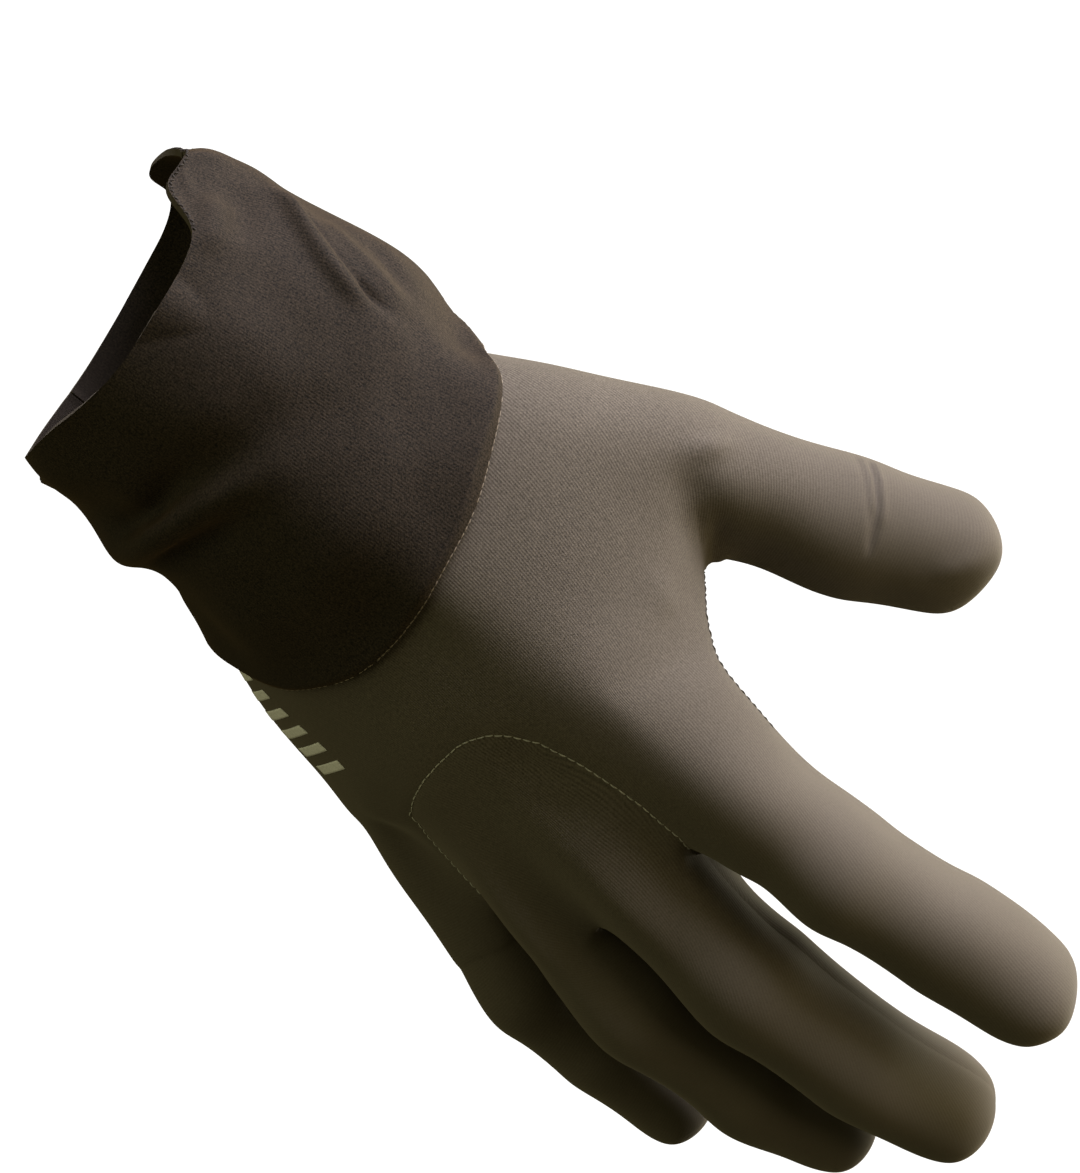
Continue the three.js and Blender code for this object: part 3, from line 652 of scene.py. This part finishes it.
def cast_route(tree, route, steps=28):
    """A route in the camera's picture, cast onto the cloth."""
    hits = [tree.ray_cast(CAMERA_PLACE, sight(x, y))[0] for x, y in along_route(route, steps)]
    return np.array([hit for hit in hits if hit])


def fold(coords, ways, line, height, width, fade):
    """Raises or sinks a rounded line in the cloth, fading at both ends."""
    lengths = lengths_along(line)
    shares = lengths / lengths[-1]
    low = line.min(axis=0) - FOLD_END * width
    high = line.max(axis=0) + FOLD_END * width
    near = np.flatnonzero(((coords > low) & (coords < high)).all(axis=1))
    starts, ends = line[:-1], line[1:]
    spans = ends - starts
    offsets = coords[near][:, None] - starts
    at = np.clip((offsets * spans).sum(axis=2) / (spans * spans).sum(axis=1), 0, 1)
    distances = np.linalg.norm(offsets - at[..., None] * spans, axis=2)
    nearest = distances.argmin(axis=1)
    rows = np.arange(len(near))
    distance = distances[rows, nearest]
    share = shares[nearest] + at[rows, nearest] * (shares[nearest + 1] - shares[nearest])
    strength = smoothstep(0, fade, share) * smoothstep(0, fade, 1 - share)
    coords[near] += ways[near] * (height * strength * np.exp(-((distance / width) ** 2)))[:, None]


def touched(tree, pixel):
    """The place on the cloth that a pixel of the picture shows, and its distance."""
    hit, _, _, distance = tree.ray_cast(CAMERA_PLACE, sight(*pixel))
    if hit is None:
        raise RuntimeError(f"pixel {pixel} misses the cloth")
    return hit, distance


def nearness(coords, middle, reach):
    """One at a place, falling softly to nothing over a reach."""
    return np.exp(-((np.linalg.norm(coords - np.array(middle), axis=1) / reach) ** 2))


def pull_cloth(obj, pulls):
    """Moves the cloth across the picture at each place of a table."""
    tree = skin_tree(obj)
    coords = places(obj.data)
    steps = np.zeros_like(coords)
    for row in pulls.values():
        hit, distance = touched(tree, row["at"])
        way = (CAMERA_RIGHT * row["by"][0] - CAMERA_UP * row["by"][1]) * (distance / PICTURE_FOCAL)
        steps += np.outer(nearness(coords, hit, row["reach"] * MM), way)
    place(obj.data, coords + steps)


def edge_ends(mesh):
    """The two points of each edge of a mesh, a row for each."""
    flat = np.empty(len(mesh.edges) * 2, dtype=np.int64)
    mesh.edges.foreach_get("vertices", flat)
    return flat.reshape(-1, 2)


def settled(coords, edges, rounds):
    """The places of a mesh's points after each has moved towards its neighbours, many times."""
    counts = np.bincount(edges.ravel(), minlength=len(coords))[:, None]
    for _ in range(rounds):
        total = np.zeros_like(coords)
        np.add.at(total, edges[:, 0], coords[edges[:, 1]])
        np.add.at(total, edges[:, 1], coords[edges[:, 0]])
        coords = (coords + total / counts) / 2
    return coords


def rest_cloth(obj, rests):
    """Lets the cloth lie flatter at each place of a table, with no slip along itself."""
    tree = skin_tree(obj)
    edges = edge_ends(obj.data)
    for row in rests.values():
        hit, _ = touched(tree, row["at"])
        for _ in range(row["passes"]):
            coords, ways = places(obj.data), normals(obj.data)
            lift = ((settled(coords, edges, REST_ROUNDS) - coords) * ways).sum(axis=1)
            lift *= nearness(coords, hit, row["reach"] * MM)
            place(obj.data, coords + ways * lift[:, None])


def slide_seam(obj, sides, route, reach):
    """Slides the seam between two panels along the cloth onto a route of the picture."""
    tree = skin_tree(obj)
    line = cast_route(tree, route, steps=60)
    coords = places(obj.data)
    seam = np.array(sorted({point for chain in seam_chains(obj, sides) for point in chain}))
    far = np.linalg.norm(coords[seam][:, None] - line[None], axis=2)
    nearest = far.argmin(axis=1)
    held = (far.min(axis=1) < reach) & (nearest > 0) & (nearest < len(line) - 1)
    seam, steps = seam[held], (line[nearest] - coords[seam])[held]
    far_off = 3 * reach
    blend = 0.5 * reach
    for index, point in enumerate(coords):
        spans = np.linalg.norm(coords[seam] - point, axis=1)
        closest = spans.min()
        if closest > far_off:
            continue
        # Each point follows the seam's points near it, and the nearest of them most
        shares = np.exp(-3 * (spans / (closest + blend)) ** 2)
        step = (shares[:, None] * steps).sum(axis=0) / shares.sum()
        step *= math.exp(-((closest / reach) ** 2))
        hit = tree.find_nearest(Vector(point + step))[0]
        coords[index] = hit
    place(obj.data, coords)


def fold_cloth(obj, folds):
    """Puts the folds of a table into the cloth."""
    tree = skin_tree(obj)
    coords = places(obj.data)
    ways = normals(obj.data)
    for row in folds.values():
        line = cast_route(tree, row["route"])
        fold(coords, ways, line, row["height"] * MM, row["width"] * MM, row["fade"])
    place(obj.data, coords)


def ruffle(obj, height, size):
    """Lets the cloth wander a little off its smooth form."""
    coords = places(obj.data)
    ways = normals(obj.data)
    drift = np.array([noise.noise(Vector(point) / size) for point in coords])
    place(obj.data, coords + ways * (height * drift)[:, None])


def sink_seams(obj, sides, depth, width):
    """Draws the cloth in where panels of the given pairs meet."""
    coords = places(obj.data)
    ways = normals(obj.data)
    seam = {point for chain in seam_chains(obj, sides) for point in chain}
    tree = point_tree(coords, seam)
    distance = np.array([tree.find(point)[2] for point in coords])
    place(obj.data, coords - ways * (depth * np.exp(-((distance / width) ** 2)))[:, None])


def settle_on(obj, tree, clearance, rise, reach):
    """Keeps the cuff off the hand. From its hem on it leaves the hand no faster than a rise."""
    mesh = obj.data
    coords = places(mesh)
    hem = point_tree(coords, cuff_border(obj, max))
    for index, point in enumerate(coords):
        hit, normal, _, _ = tree.find_nearest(Vector(point), reach)
        if hit is None:
            continue
        height = (Vector(point) - hit).dot(normal)
        far_inside = height < -0.5 * reach
        if far_inside:
            continue
        most = clearance + rise * hem.find(point)[2]
        wanted = max(min(height, most), clearance)
        coords[index] += np.array(normal) * (wanted - height)
    place(mesh, coords)


# Materials

def tree_of(made):
    """A material's node tree, emptied."""
    made.use_nodes = True
    made.node_tree.nodes.clear()
    return made.node_tree


def add_node(tree, kind, inputs=None, **settings):
    """Adds a shader node. Each input, by name or number, is a value or the output that feeds it."""
    node = tree.nodes.new(f"ShaderNode{kind}")
    for key, value in settings.items():
        setattr(node, key, value)
    for key, value in (inputs or {}).items():
        if isinstance(value, bpy.types.NodeSocket):
            tree.links.new(value, node.inputs[key])
        else:
            node.inputs[key].default_value = value
    return node


def knit_waves(tree):
    """The relief of ribs and of the loops along them, from the cloth's flat pattern."""
    cloth = add_node(tree, "UVMap", uv_map="cloth").outputs[0]
    turned = add_node(tree, "VectorRotate", {"Vector": cloth, "Angle": RIB_TURN},
                      rotation_type="Z_AXIS").outputs[0]
    across, along, _ = add_node(tree, "SeparateXYZ", {0: turned}).outputs
    rib = add_node(tree, "Math", {0: across, 1: 2 * math.pi * CLOTH_UNIT / RIB_SPACING},
                   operation="MULTIPLY").outputs[0]
    rib = add_node(tree, "Math", {0: rib}, operation="SINE").outputs[0]
    lag = add_node(tree, "Math", {0: rib, 1: LOOP_LAG}, operation="MULTIPLY").outputs[0]
    loop = add_node(tree, "Math", {0: along, 1: 2 * math.pi * CLOTH_UNIT / LOOP_SPACING, 2: lag},
                    operation="MULTIPLY_ADD").outputs[0]
    loop = add_node(tree, "Math", {0: loop}, operation="SINE").outputs[0]
    loop = add_node(tree, "Math", {0: loop, 1: LOOP_SHARE}, operation="MULTIPLY").outputs[0]
    return add_node(tree, "Math", {0: rib, 1: RIB_SHARE, 2: loop}, operation="MULTIPLY_ADD").outputs[0]


def share_shown(tree, ground):
    """The share of the knit that stretching and rubbing leave in sight."""
    along = add_node(tree, "VectorMath", {0: ground, 1: STRETCH_WAY},
                     operation="DOT_PRODUCT").outputs["Value"]
    outward = add_node(tree, "SeparateXYZ", {0: ground}).outputs[2]
    shares = [
        add_node(tree, "MapRange", {"Value": value, "From Min": start, "From Max": end,
                                    "To Min": first, "To Max": last},
                 interpolation_type="SMOOTHSTEP").outputs[0]
        for value, start, end, first, last in (
            (along, STRETCH_START, STRETCH_END, 1.0, STRETCHED_KNIT),
            (outward, RUBBED_END, RUBBED_START, RUBBED_KNIT, 1.0))]
    return add_node(tree, "Math", {0: shares[0], 1: shares[1]}, operation="MULTIPLY").outputs[0]


def knit_material(name, color, face):
    """A knit under a fuzz of fibre ends, as one of the two faces at the top."""
    made = bpy.data.materials.new(name)
    tree = tree_of(made)
    ground = add_node(tree, "TexCoord").outputs["Object"]
    shown = share_shown(tree, ground)
    knit = add_node(tree, "Math", {0: knit_waves(tree), 1: shown}, operation="MULTIPLY").outputs[0]
    fibre = add_node(tree, "TexNoise", {"Vector": ground, "Scale": 1 / face["fibre_size"],
                                        "Detail": 2.0, "Roughness": 0.6}).outputs[0]
    fibre = add_node(tree, "Math", {0: fibre, 1: 0.5}, operation="SUBTRACT").outputs[0]
    fibre = add_node(tree, "Math", {0: fibre, 1: shown}, operation="MULTIPLY").outputs[0]
    patch = add_node(tree, "TexNoise", {"Vector": ground, "Scale": 1 / PATCH_SIZE,
                                        "Detail": 4.0, "Roughness": 0.6}).outputs[0]
    patch = add_node(tree, "Math", {0: patch, 1: 0.5}, operation="SUBTRACT").outputs[0]

    tone = 1.0
    for source, share in ((patch, PATCH_TONE), (fibre, face["fibre_tone"]), (knit, face["rib_tone"])):
        tone = add_node(tree, "Math", {0: source, 1: share, 2: tone}, operation="MULTIPLY_ADD").outputs[0]
    height = add_node(tree, "Math", {0: fibre, 1: FIBRE_SHARE}, operation="MULTIPLY").outputs[0]
    height = add_node(tree, "Math", {0: knit, 1: face["rib_relief"], 2: height},
                      operation="MULTIPLY_ADD").outputs[0]
    shade = add_node(tree, "HueSaturation", {"Value": tone, "Color": linear(color)}).outputs[0]
    bump = add_node(tree, "Bump", {"Strength": 1.0, "Distance": face["relief"],
                                   "Height": height}).outputs[0]
    shader = add_node(tree, "BsdfPrincipled", {
        "Base Color": shade, "Roughness": KNIT_ROUGHNESS, "IOR": KNIT_IOR, "Normal": bump,
        "Specular IOR Level": KNIT_GLOSS, "Sheen Weight": face["sheen"],
        "Sheen Roughness": SHEEN_ROUGHNESS, "Sheen Tint": linear(face["sheen_color"])}).outputs[0]
    add_node(tree, "OutputMaterial", {"Surface": shader})
    return made


def plain_material(name, color, roughness, grain, sheen):
    """One colour with a fine grain."""
    made = bpy.data.materials.new(name)
    tree = tree_of(made)
    ground = add_node(tree, "TexCoord").outputs["Object"]
    specks = add_node(tree, "TexNoise", {"Vector": ground, "Scale": 1 / grain, "Detail": 2.0}).outputs[0]
    tone = add_node(tree, "Math", {0: specks, 1: GRAIN_TONE, 2: 1 - GRAIN_TONE / 2},
                    operation="MULTIPLY_ADD").outputs[0]
    shade = add_node(tree, "HueSaturation", {"Value": tone, "Color": linear(color)}).outputs[0]
    bump = add_node(tree, "Bump", {"Strength": GRAIN_STRENGTH, "Distance": GRAIN_RELIEF,
                                   "Height": specks}).outputs[0]
    shader = add_node(tree, "BsdfPrincipled", {
        "Base Color": shade, "Roughness": roughness, "IOR": PLAIN_IOR, "Normal": bump,
        "Sheen Weight": sheen}).outputs[0]
    add_node(tree, "OutputMaterial", {"Surface": shader})
    return made


def paper_material(name):
    """White paper lit from behind, which is even and takes no shadow."""
    made = bpy.data.materials.new(name)
    tree = tree_of(made)
    glow = add_node(tree, "Emission", {"Color": linear(PAPER_COLOR), "Strength": PAPER_GLOW}).outputs[0]
    add_node(tree, "OutputMaterial", {"Surface": glow})
    return made


def material(name):
    """A material of the glove by name, made when it is first asked for."""
    made = bpy.data.materials.get(name)
    if made:
        return made
    colors = bpy.context.scene.glove_finish
    if name == "knit_faced_foam":
        return knit_material(name, colors.body_color, FOAM_FACE)
    if name == "brushed_stretch_knit":
        return knit_material(name, colors.cuff_color, CUFF_FACE)
    if name == "lit_paper":
        return paper_material(name)
    return plain_material(name, **PLAIN_FINISHES[name])


# Panels

def take_panel(skin, index, name):
    """One panel of a joined skin as an object of its own."""
    net = bmesh.new()
    net.from_mesh(skin.data)
    others = [face for face in net.faces if face.material_index != index]
    bmesh.ops.delete(net, geom=others, context="FACES")
    mesh = bpy.data.meshes.new(name)
    net.to_mesh(mesh)
    net.free()
    mesh.polygons.foreach_set("material_index", [0] * len(mesh.polygons))
    return add_object(name, mesh)


def give_wall(obj, wall, face_material, edge_material):
    """Thickens a panel inwards and gives its cut edges their own material."""
    obj.data.materials.clear()
    obj.data.materials.append(material(face_material))
    obj.data.materials.append(material(edge_material))
    finish_with(obj, "SOLIDIFY", thickness=wall, offset=-1, use_even_offset=False,
                use_rim=True, material_offset_rim=1)
    only(obj)
    bpy.ops.object.shade_smooth_by_angle(angle=EDGE_ANGLE)


def declare_panel(obj, node):
    """Fixes the cloth to the glove's root and hides the CAD part that it stands in for."""
    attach(obj, "root")
    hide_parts(node)


def declare_trim(obj, finish):
    """Gives a thread or the print its material, and fixes it to the glove."""
    obj.data.materials.append(material(finish))
    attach(obj, "root")


# Threads

def stitch_shape(length, thickness):
    """One stitch along X at the origin, its ends dipping into the cloth."""
    bpy.ops.object.select_all(action="DESELECT")
    bpy.ops.mesh.primitive_uv_sphere_add(segments=STITCH_SIDES, ring_count=STITCH_SIDES, radius=0.5)
    obj = bpy.context.object
    bpy.ops.object.mode_set(mode="EDIT")
    bpy.ops.mesh.select_all(action="SELECT")
    bpy.ops.transform.rotate(value=math.pi / 2, orient_axis="Y", center_override=(0, 0, 0))
    bpy.ops.transform.resize(value=(length, thickness, thickness))
    bpy.ops.object.mode_set(mode="OBJECT")
    coords = places(obj.data)
    coords[:, 2] -= thickness * STITCH_DIP * (2 * coords[:, 0] / length) ** 2
    faces = [tuple(face.vertices) for face in obj.data.polygons]
    bpy.data.objects.remove(obj)
    return coords, faces


def stitch_places(line, ups, pitch, share, rng):
    """Even places along a line with the way along it and the way up, some left out at random."""
    lengths = lengths_along(line)
    near = pitch / 3
    found = []
    for at in np.arange(pitch / 2, lengths[-1], pitch):
        if rng.random() > share:
            continue
        middle, before, after, up = (
            np.array([np.interp(value, lengths, source[:, axis]) for axis in range(3)])
            for value, source in ((at, line), (at - near, line), (at + near, line), (at, ups)))
        found.append((middle, after - before, up))
    return found


def sew(name, coords, ways, routes):
    """Lays one row of the table of stitches along chains of a skin's points, as one mesh."""
    row = STITCHES[name]
    shape, faces = stitch_shape(row["length"] * MM, row["thick"] * MM)
    rng = random.Random(name)
    points, polygons = [], []
    for route in routes:
        found = stitch_places(coords[route], ways[route], row["pitch"] * MM, row["share"], rng)
        for count, (middle, along, up) in enumerate(found):
            along = along / np.linalg.norm(along)
            up = up - along * up.dot(along)
            up = up / np.linalg.norm(up)
            side = np.cross(up, along)
            angle = row["lean"] * (1 if count % 2 else -1) + rng.uniform(-LEAN_SPREAD, LEAN_SPREAD)
            ahead = along * math.cos(angle) + side * math.sin(angle)
            across = np.cross(up, ahead)
            base = middle + up * row["lift"] * MM + side * rng.uniform(-SIDE_SPREAD, SIDE_SPREAD)
            start = len(points) * len(shape)
            points.append(base + shape @ np.array([ahead, across, up]))
            polygons += [tuple(index + start for index in face) for face in faces]
    mesh = bpy.data.meshes.new(name)
    mesh.from_pydata(np.concatenate(points).tolist(), [], polygons)
    mesh.shade_smooth()
    return add_object(name, mesh)


def sew_arch(skin):
    """The light thread of the arched seam over the knuckles."""
    thread = sew("arch_thread", places(skin.data), normals(skin.data), seam_chains(skin, ARCH))
    declare_trim(thread, "light_thread")


def sew_web(skin):
    """The dark thread of the side seam, where it crosses the web."""
    coords = places(skin.data)
    web, _ = touched(skin_tree(skin), WEB)
    near = np.linalg.norm(coords - np.array(web), axis=1) < WEB_REACH
    routes = [[point for point in chain if near[point]] for chain in seam_chains(skin, HAND_SIDES)]
    routes = [route for route in routes if len(route) > 1]
    thread = sew("web_thread", coords, normals(skin.data), routes)
    declare_trim(thread, "dark_thread")


def sew_hem(skin):
    """The thread along the cuff's hem, on the hand; its light colour is partly a painted highlight."""
    thread = sew("hem_thread", places(skin.data), normals(skin.data), [cuff_border(skin, max)])
    declare_trim(thread, "hem_thread")


def sew_cuff_sides(skin):
    """The zigzag thread of the cuff's two side seams."""
    thread = sew("cuff_thread", places(skin.data), normals(skin.data), seam_chains(skin, CUFF_SIDES))
    declare_trim(thread, "cuff_thread")


def overcast_mouth(skin):
    """The thread wound over the edge of the mouth's pulled corner."""
    tree = skin_tree(skin)
    coords = places(skin.data)
    corner, _ = touched(tree, MOUTH_CORNER)
    edge = [Vector(coords[index]) for index in cuff_border(skin, min)]
    edge = [point for point in edge if (point - corner).length < CORNER_REACH]
    found = [tree.find_nearest(point + Vector((CORNER_INSET, 0, 0))) for point in edge]
    line = np.array([hit for hit, _, _, _ in found])
    ups = np.array([normal for _, normal, _, _ in found])
    thread = sew("mouth_thread", line, ups, [list(range(len(line)))])
    declare_trim(thread, "mouth_thread")


# The print

def add_bar(net, tree, middle, along):
    """One slanted bar of the print, laid on the cloth."""
    rows, columns = 14, 5
    _, up, _, _ = tree.find_nearest(middle)
    across = up.cross(along).normalized()
    grid = {}
    for row in range(rows + 1):
        for column in range(columns + 1):
            far = (row / rows - 0.5) * PRINT_LENGTH
            step = (column / columns - 0.5) * PRINT_WIDTH + far * math.tan(PRINT_SLANT)
            hit, normal, _, _ = tree.find_nearest(middle + across * far + along * step)
            grid[row, column] = net.verts.new(hit + normal * PRINT_LIFT)
    for row in range(rows):
        for column in range(columns):
            net.faces.new((grid[row, column], grid[row, column + 1],
                           grid[row + 1, column + 1], grid[row + 1, column]))


def print_bars(skin):
    """Thin slanted bars of film along the outer side of the hand."""
    tree = skin_tree(skin)
    first, _ = touched(tree, PRINT_START)
    last, _ = touched(tree, PRINT_END)
    net = bmesh.new()
    for bar in range(PRINT_BARS):
        add_bar(net, tree, first.lerp(last, bar / (PRINT_BARS - 1)), (last - first).normalized())
    bmesh.ops.recalc_face_normals(net, faces=net.faces)
    mesh = bpy.data.meshes.new("print")
    net.to_mesh(mesh)
    net.free()
    mesh.shade_smooth()
    face = mesh.polygons[0]
    _, up, _, _ = tree.find_nearest(face.center)
    if face.normal.dot(up) < 0:
        mesh.flip_normals()
    obj = add_object("print", mesh)
    finish_with(obj, "SOLIDIFY", thickness=PRINT_FILM, offset=-1)
    declare_trim(obj, "printed_film")


# The add-on

class GloveFinish(bpy.types.PropertyGroup):
    """Colours and sizes that a user of the glove would change."""

    body_color: bpy.props.StringProperty(
        name="Body", description="Colour of the hand's cloth, as an sRGB hex value", default=BODY_COLOR)
    cuff_color: bpy.props.StringProperty(
        name="Cuff", description="Colour of the cuff's cloth, as an sRGB hex value", default=CUFF_COLOR)
    seam_depth: bpy.props.FloatProperty(
        name="Seam depth", description="How far the cloth is drawn in at its seams", default=0.35 * MM,
        min=0, soft_max=1 * MM, unit="LENGTH", subtype="DISTANCE")
    ruffle_height: bpy.props.FloatProperty(
        name="Ruffle", description="How far the cloth wanders off its smooth form", default=0.45 * MM,
        min=0, soft_max=2 * MM, unit="LENGTH", subtype="DISTANCE")
    floor_drop: bpy.props.FloatProperty(
        name="Floor", description="How far the floor lies below the glove", default=0.35,
        min=0, unit="LENGTH", subtype="DISTANCE")


class AddHand(bpy.types.Operator):
    """Makes the three panels of the hand with their threads and the print."""

    bl_idname = "glove.add_hand"
    bl_label = "Add the hand"

    def execute(self, context):
        skin = self.shape(context.scene.glove_finish)
        for index, node in enumerate(HAND_PANELS):
            panel = take_panel(skin, index, f"{node}_cloth")
            if index != PALM:
                finish_with(panel, "SUBSURF", levels=CREASED_LEVELS, render_levels=CREASED_LEVELS)
            if index == BACK:
                fold_cloth(panel, BACK_CREASES)
            give_wall(panel, BODY_WALL, "knit_faced_foam", "cut_foam_edge")
            declare_panel(panel, node)
        sew_arch(skin)
        sew_web(skin)
        print_bars(skin)
        skin.hide_render = True
        return {"FINISHED"}

    def shape(self, finish):
        """The hand's cloth as one skin, with its folds and the hollows of its seams."""
        skin = joined_skin("hand_skin", HAND_PANELS, BODY_WALL)
        lay_flat(skin)
        finish_with(skin, "SUBSURF", levels=HAND_LEVELS, render_levels=HAND_LEVELS)
        pull_cloth(skin, HAND_PULLS)
        rest_cloth(skin, HAND_REST)
        slide_seam(skin, ARCH, ARCH_SEAM, ARCH_REACH)
        fold_cloth(skin, HAND_FOLDS)
        ruffle(skin, finish.ruffle_height, HAND_RUFFLE_SIZE)
        sink_seams(skin, ARCH, finish.seam_depth, SEAM_WIDTH)
        sink_seams(skin, HAND_SIDES, finish.seam_depth * SIDE_SEAM_SHARE, SEAM_WIDTH)
        return skin


class AddCuff(bpy.types.Operator):
    """Makes the cuff's two halves with their threads, and lays the hem on the hand."""

    bl_idname = "glove.add_cuff"
    bl_label = "Add the cuff"

    def execute(self, context):
        skin = self.shape(context.scene.glove_finish)
        for index, node in enumerate(CUFF_PANELS):
            panel = take_panel(skin, index, f"{node}_cloth")
            # Cut edges partly the foam's grey, partly a painted highlight along the hem
            give_wall(panel, CUFF_WALL, "brushed_stretch_knit", "cut_foam_edge")
            declare_panel(panel, node)
        sew_hem(skin)
        sew_cuff_sides(skin)
        overcast_mouth(skin)
        for name in ("hand_skin", "cuff_skin"):
            bpy.data.objects.remove(bpy.data.objects[name])
        return {"FINISHED"}

    def shape(self, finish):
        """The cuff's cloth as one skin, with its folds, lying on the hand."""
        skin = joined_skin("cuff_skin", CUFF_PANELS, CUFF_WALL)
        lay_flat(skin)
        finish_with(skin, "SUBSURF", levels=CUFF_LEVELS, render_levels=CUFF_LEVELS)
        pull_cloth(skin, CUFF_PULLS)
        fold_cloth(skin, CUFF_FOLDS)
        ruffle(skin, finish.ruffle_height * CUFF_RUFFLE_SHARE, CUFF_RUFFLE_SIZE)
        hand = skin_tree(bpy.data.objects["hand_skin"])
        settle_on(skin, hand, CUFF_CLEARANCE, CUFF_RISE, CUFF_FEEL)
        sink_seams(skin, CUFF_SIDES, finish.seam_depth, SEAM_WIDTH)
        return skin


class AddStage(bpy.types.Operator):
    """Makes the floor, the backdrop, the lights and the camera."""

    bl_idname = "glove.add_stage"
    bl_label = "Add the stage"

    def execute(self, context):
        low, high = CAD_BOX
        middle = (low + high) / 2
        self.add_paper(context, middle, low.z - context.scene.glove_finish.floor_drop)
        for name, row in LIGHTS.items():
            self.add_light(name, row, middle)
        self.add_room(context)
        self.add_camera(context)
        context.scene.view_settings.view_transform = "Standard"
        return {"FINISHED"}

    def add_paper(self, context, middle, floor_height):
        bpy.ops.object.select_all(action="DESELECT")
        bpy.ops.mesh.primitive_plane_add(size=FLOOR_SIZE, location=(middle.x, middle.y, floor_height))
        floor = context.object
        floor.name = "floor"
        bpy.ops.mesh.primitive_uv_sphere_add(
            segments=32, ring_count=16, radius=BACKDROP_RADIUS, location=middle)
        backdrop = context.object
        backdrop.name = "backdrop"
        for piece in (floor, backdrop):
            piece.data.materials.append(material("lit_paper"))
            piece.visible_diffuse = False
            piece.visible_glossy = False
            piece.visible_shadow = False

    def add_light(self, name, row, middle):
        data = bpy.data.lights.new(name, "AREA")
        data.shape = "DISK"
        data.size = LIGHT_SIZE
        data.energy = row["power"]
        data.color = linear(row["color"])[:3]
        light = add_object(name, data)
        way = CAMERA_RIGHT * row["right"] + CAMERA_UP * row["up"] - CAMERA_LOOK * row["near"]
        way.normalize()
        light.location = middle + way * LIGHT_DISTANCE
        light.rotation_euler = way.to_track_quat("Z", "Y").to_euler()

    def add_room(self, context):
        world = bpy.data.worlds.new("studio")
        world.use_nodes = True
        background = world.node_tree.nodes["Background"]
        background.inputs["Color"].default_value = linear(ROOM_COLOR)
        background.inputs["Strength"].default_value = ROOM_STRENGTH
        context.scene.world = world

    def add_camera(self, context):
        data = bpy.data.cameras.new("camera")
        data.sensor_width = SENSOR_MM
        data.lens = SENSOR_MM * PICTURE_FOCAL / PICTURE_HEIGHT
        data.clip_start = 0.05
        camera = add_object("camera", data)
        turn = Matrix((CAMERA_RIGHT, CAMERA_UP, -CAMERA_LOOK)).transposed().to_4x4()
        camera.matrix_world = Matrix.Translation(CAMERA_PLACE) @ turn
        context.scene.camera = camera


class GlovePanel(bpy.types.Panel):
    """Lists the glove's colours, sizes and pieces."""

    bl_idname = "VIEW3D_PT_glove"
    bl_label = "Cycling glove"
    bl_space_type = "VIEW_3D"
    bl_region_type = "UI"
    bl_category = "Glove"

    def draw(self, context):
        for name in GloveFinish.__annotations__:
            self.layout.prop(context.scene.glove_finish, name)
        for operator in OPERATORS:
            self.layout.operator(operator.bl_idname)


OPERATORS = (AddHand, AddCuff, AddStage)
CLASSES = (GloveFinish, *OPERATORS, GlovePanel)


def register():
    for item in CLASSES:
        bpy.utils.register_class(item)
    bpy.types.Scene.glove_finish = bpy.props.PointerProperty(type=GloveFinish)


def unregister():
    del bpy.types.Scene.glove_finish
    for item in reversed(CLASSES):
        bpy.utils.unregister_class(item)


def main():
    register()
    bpy.ops.glove.add_hand()
    bpy.ops.glove.add_cuff()
    bpy.ops.glove.add_stage()


if __name__ == "__main__":
    main()
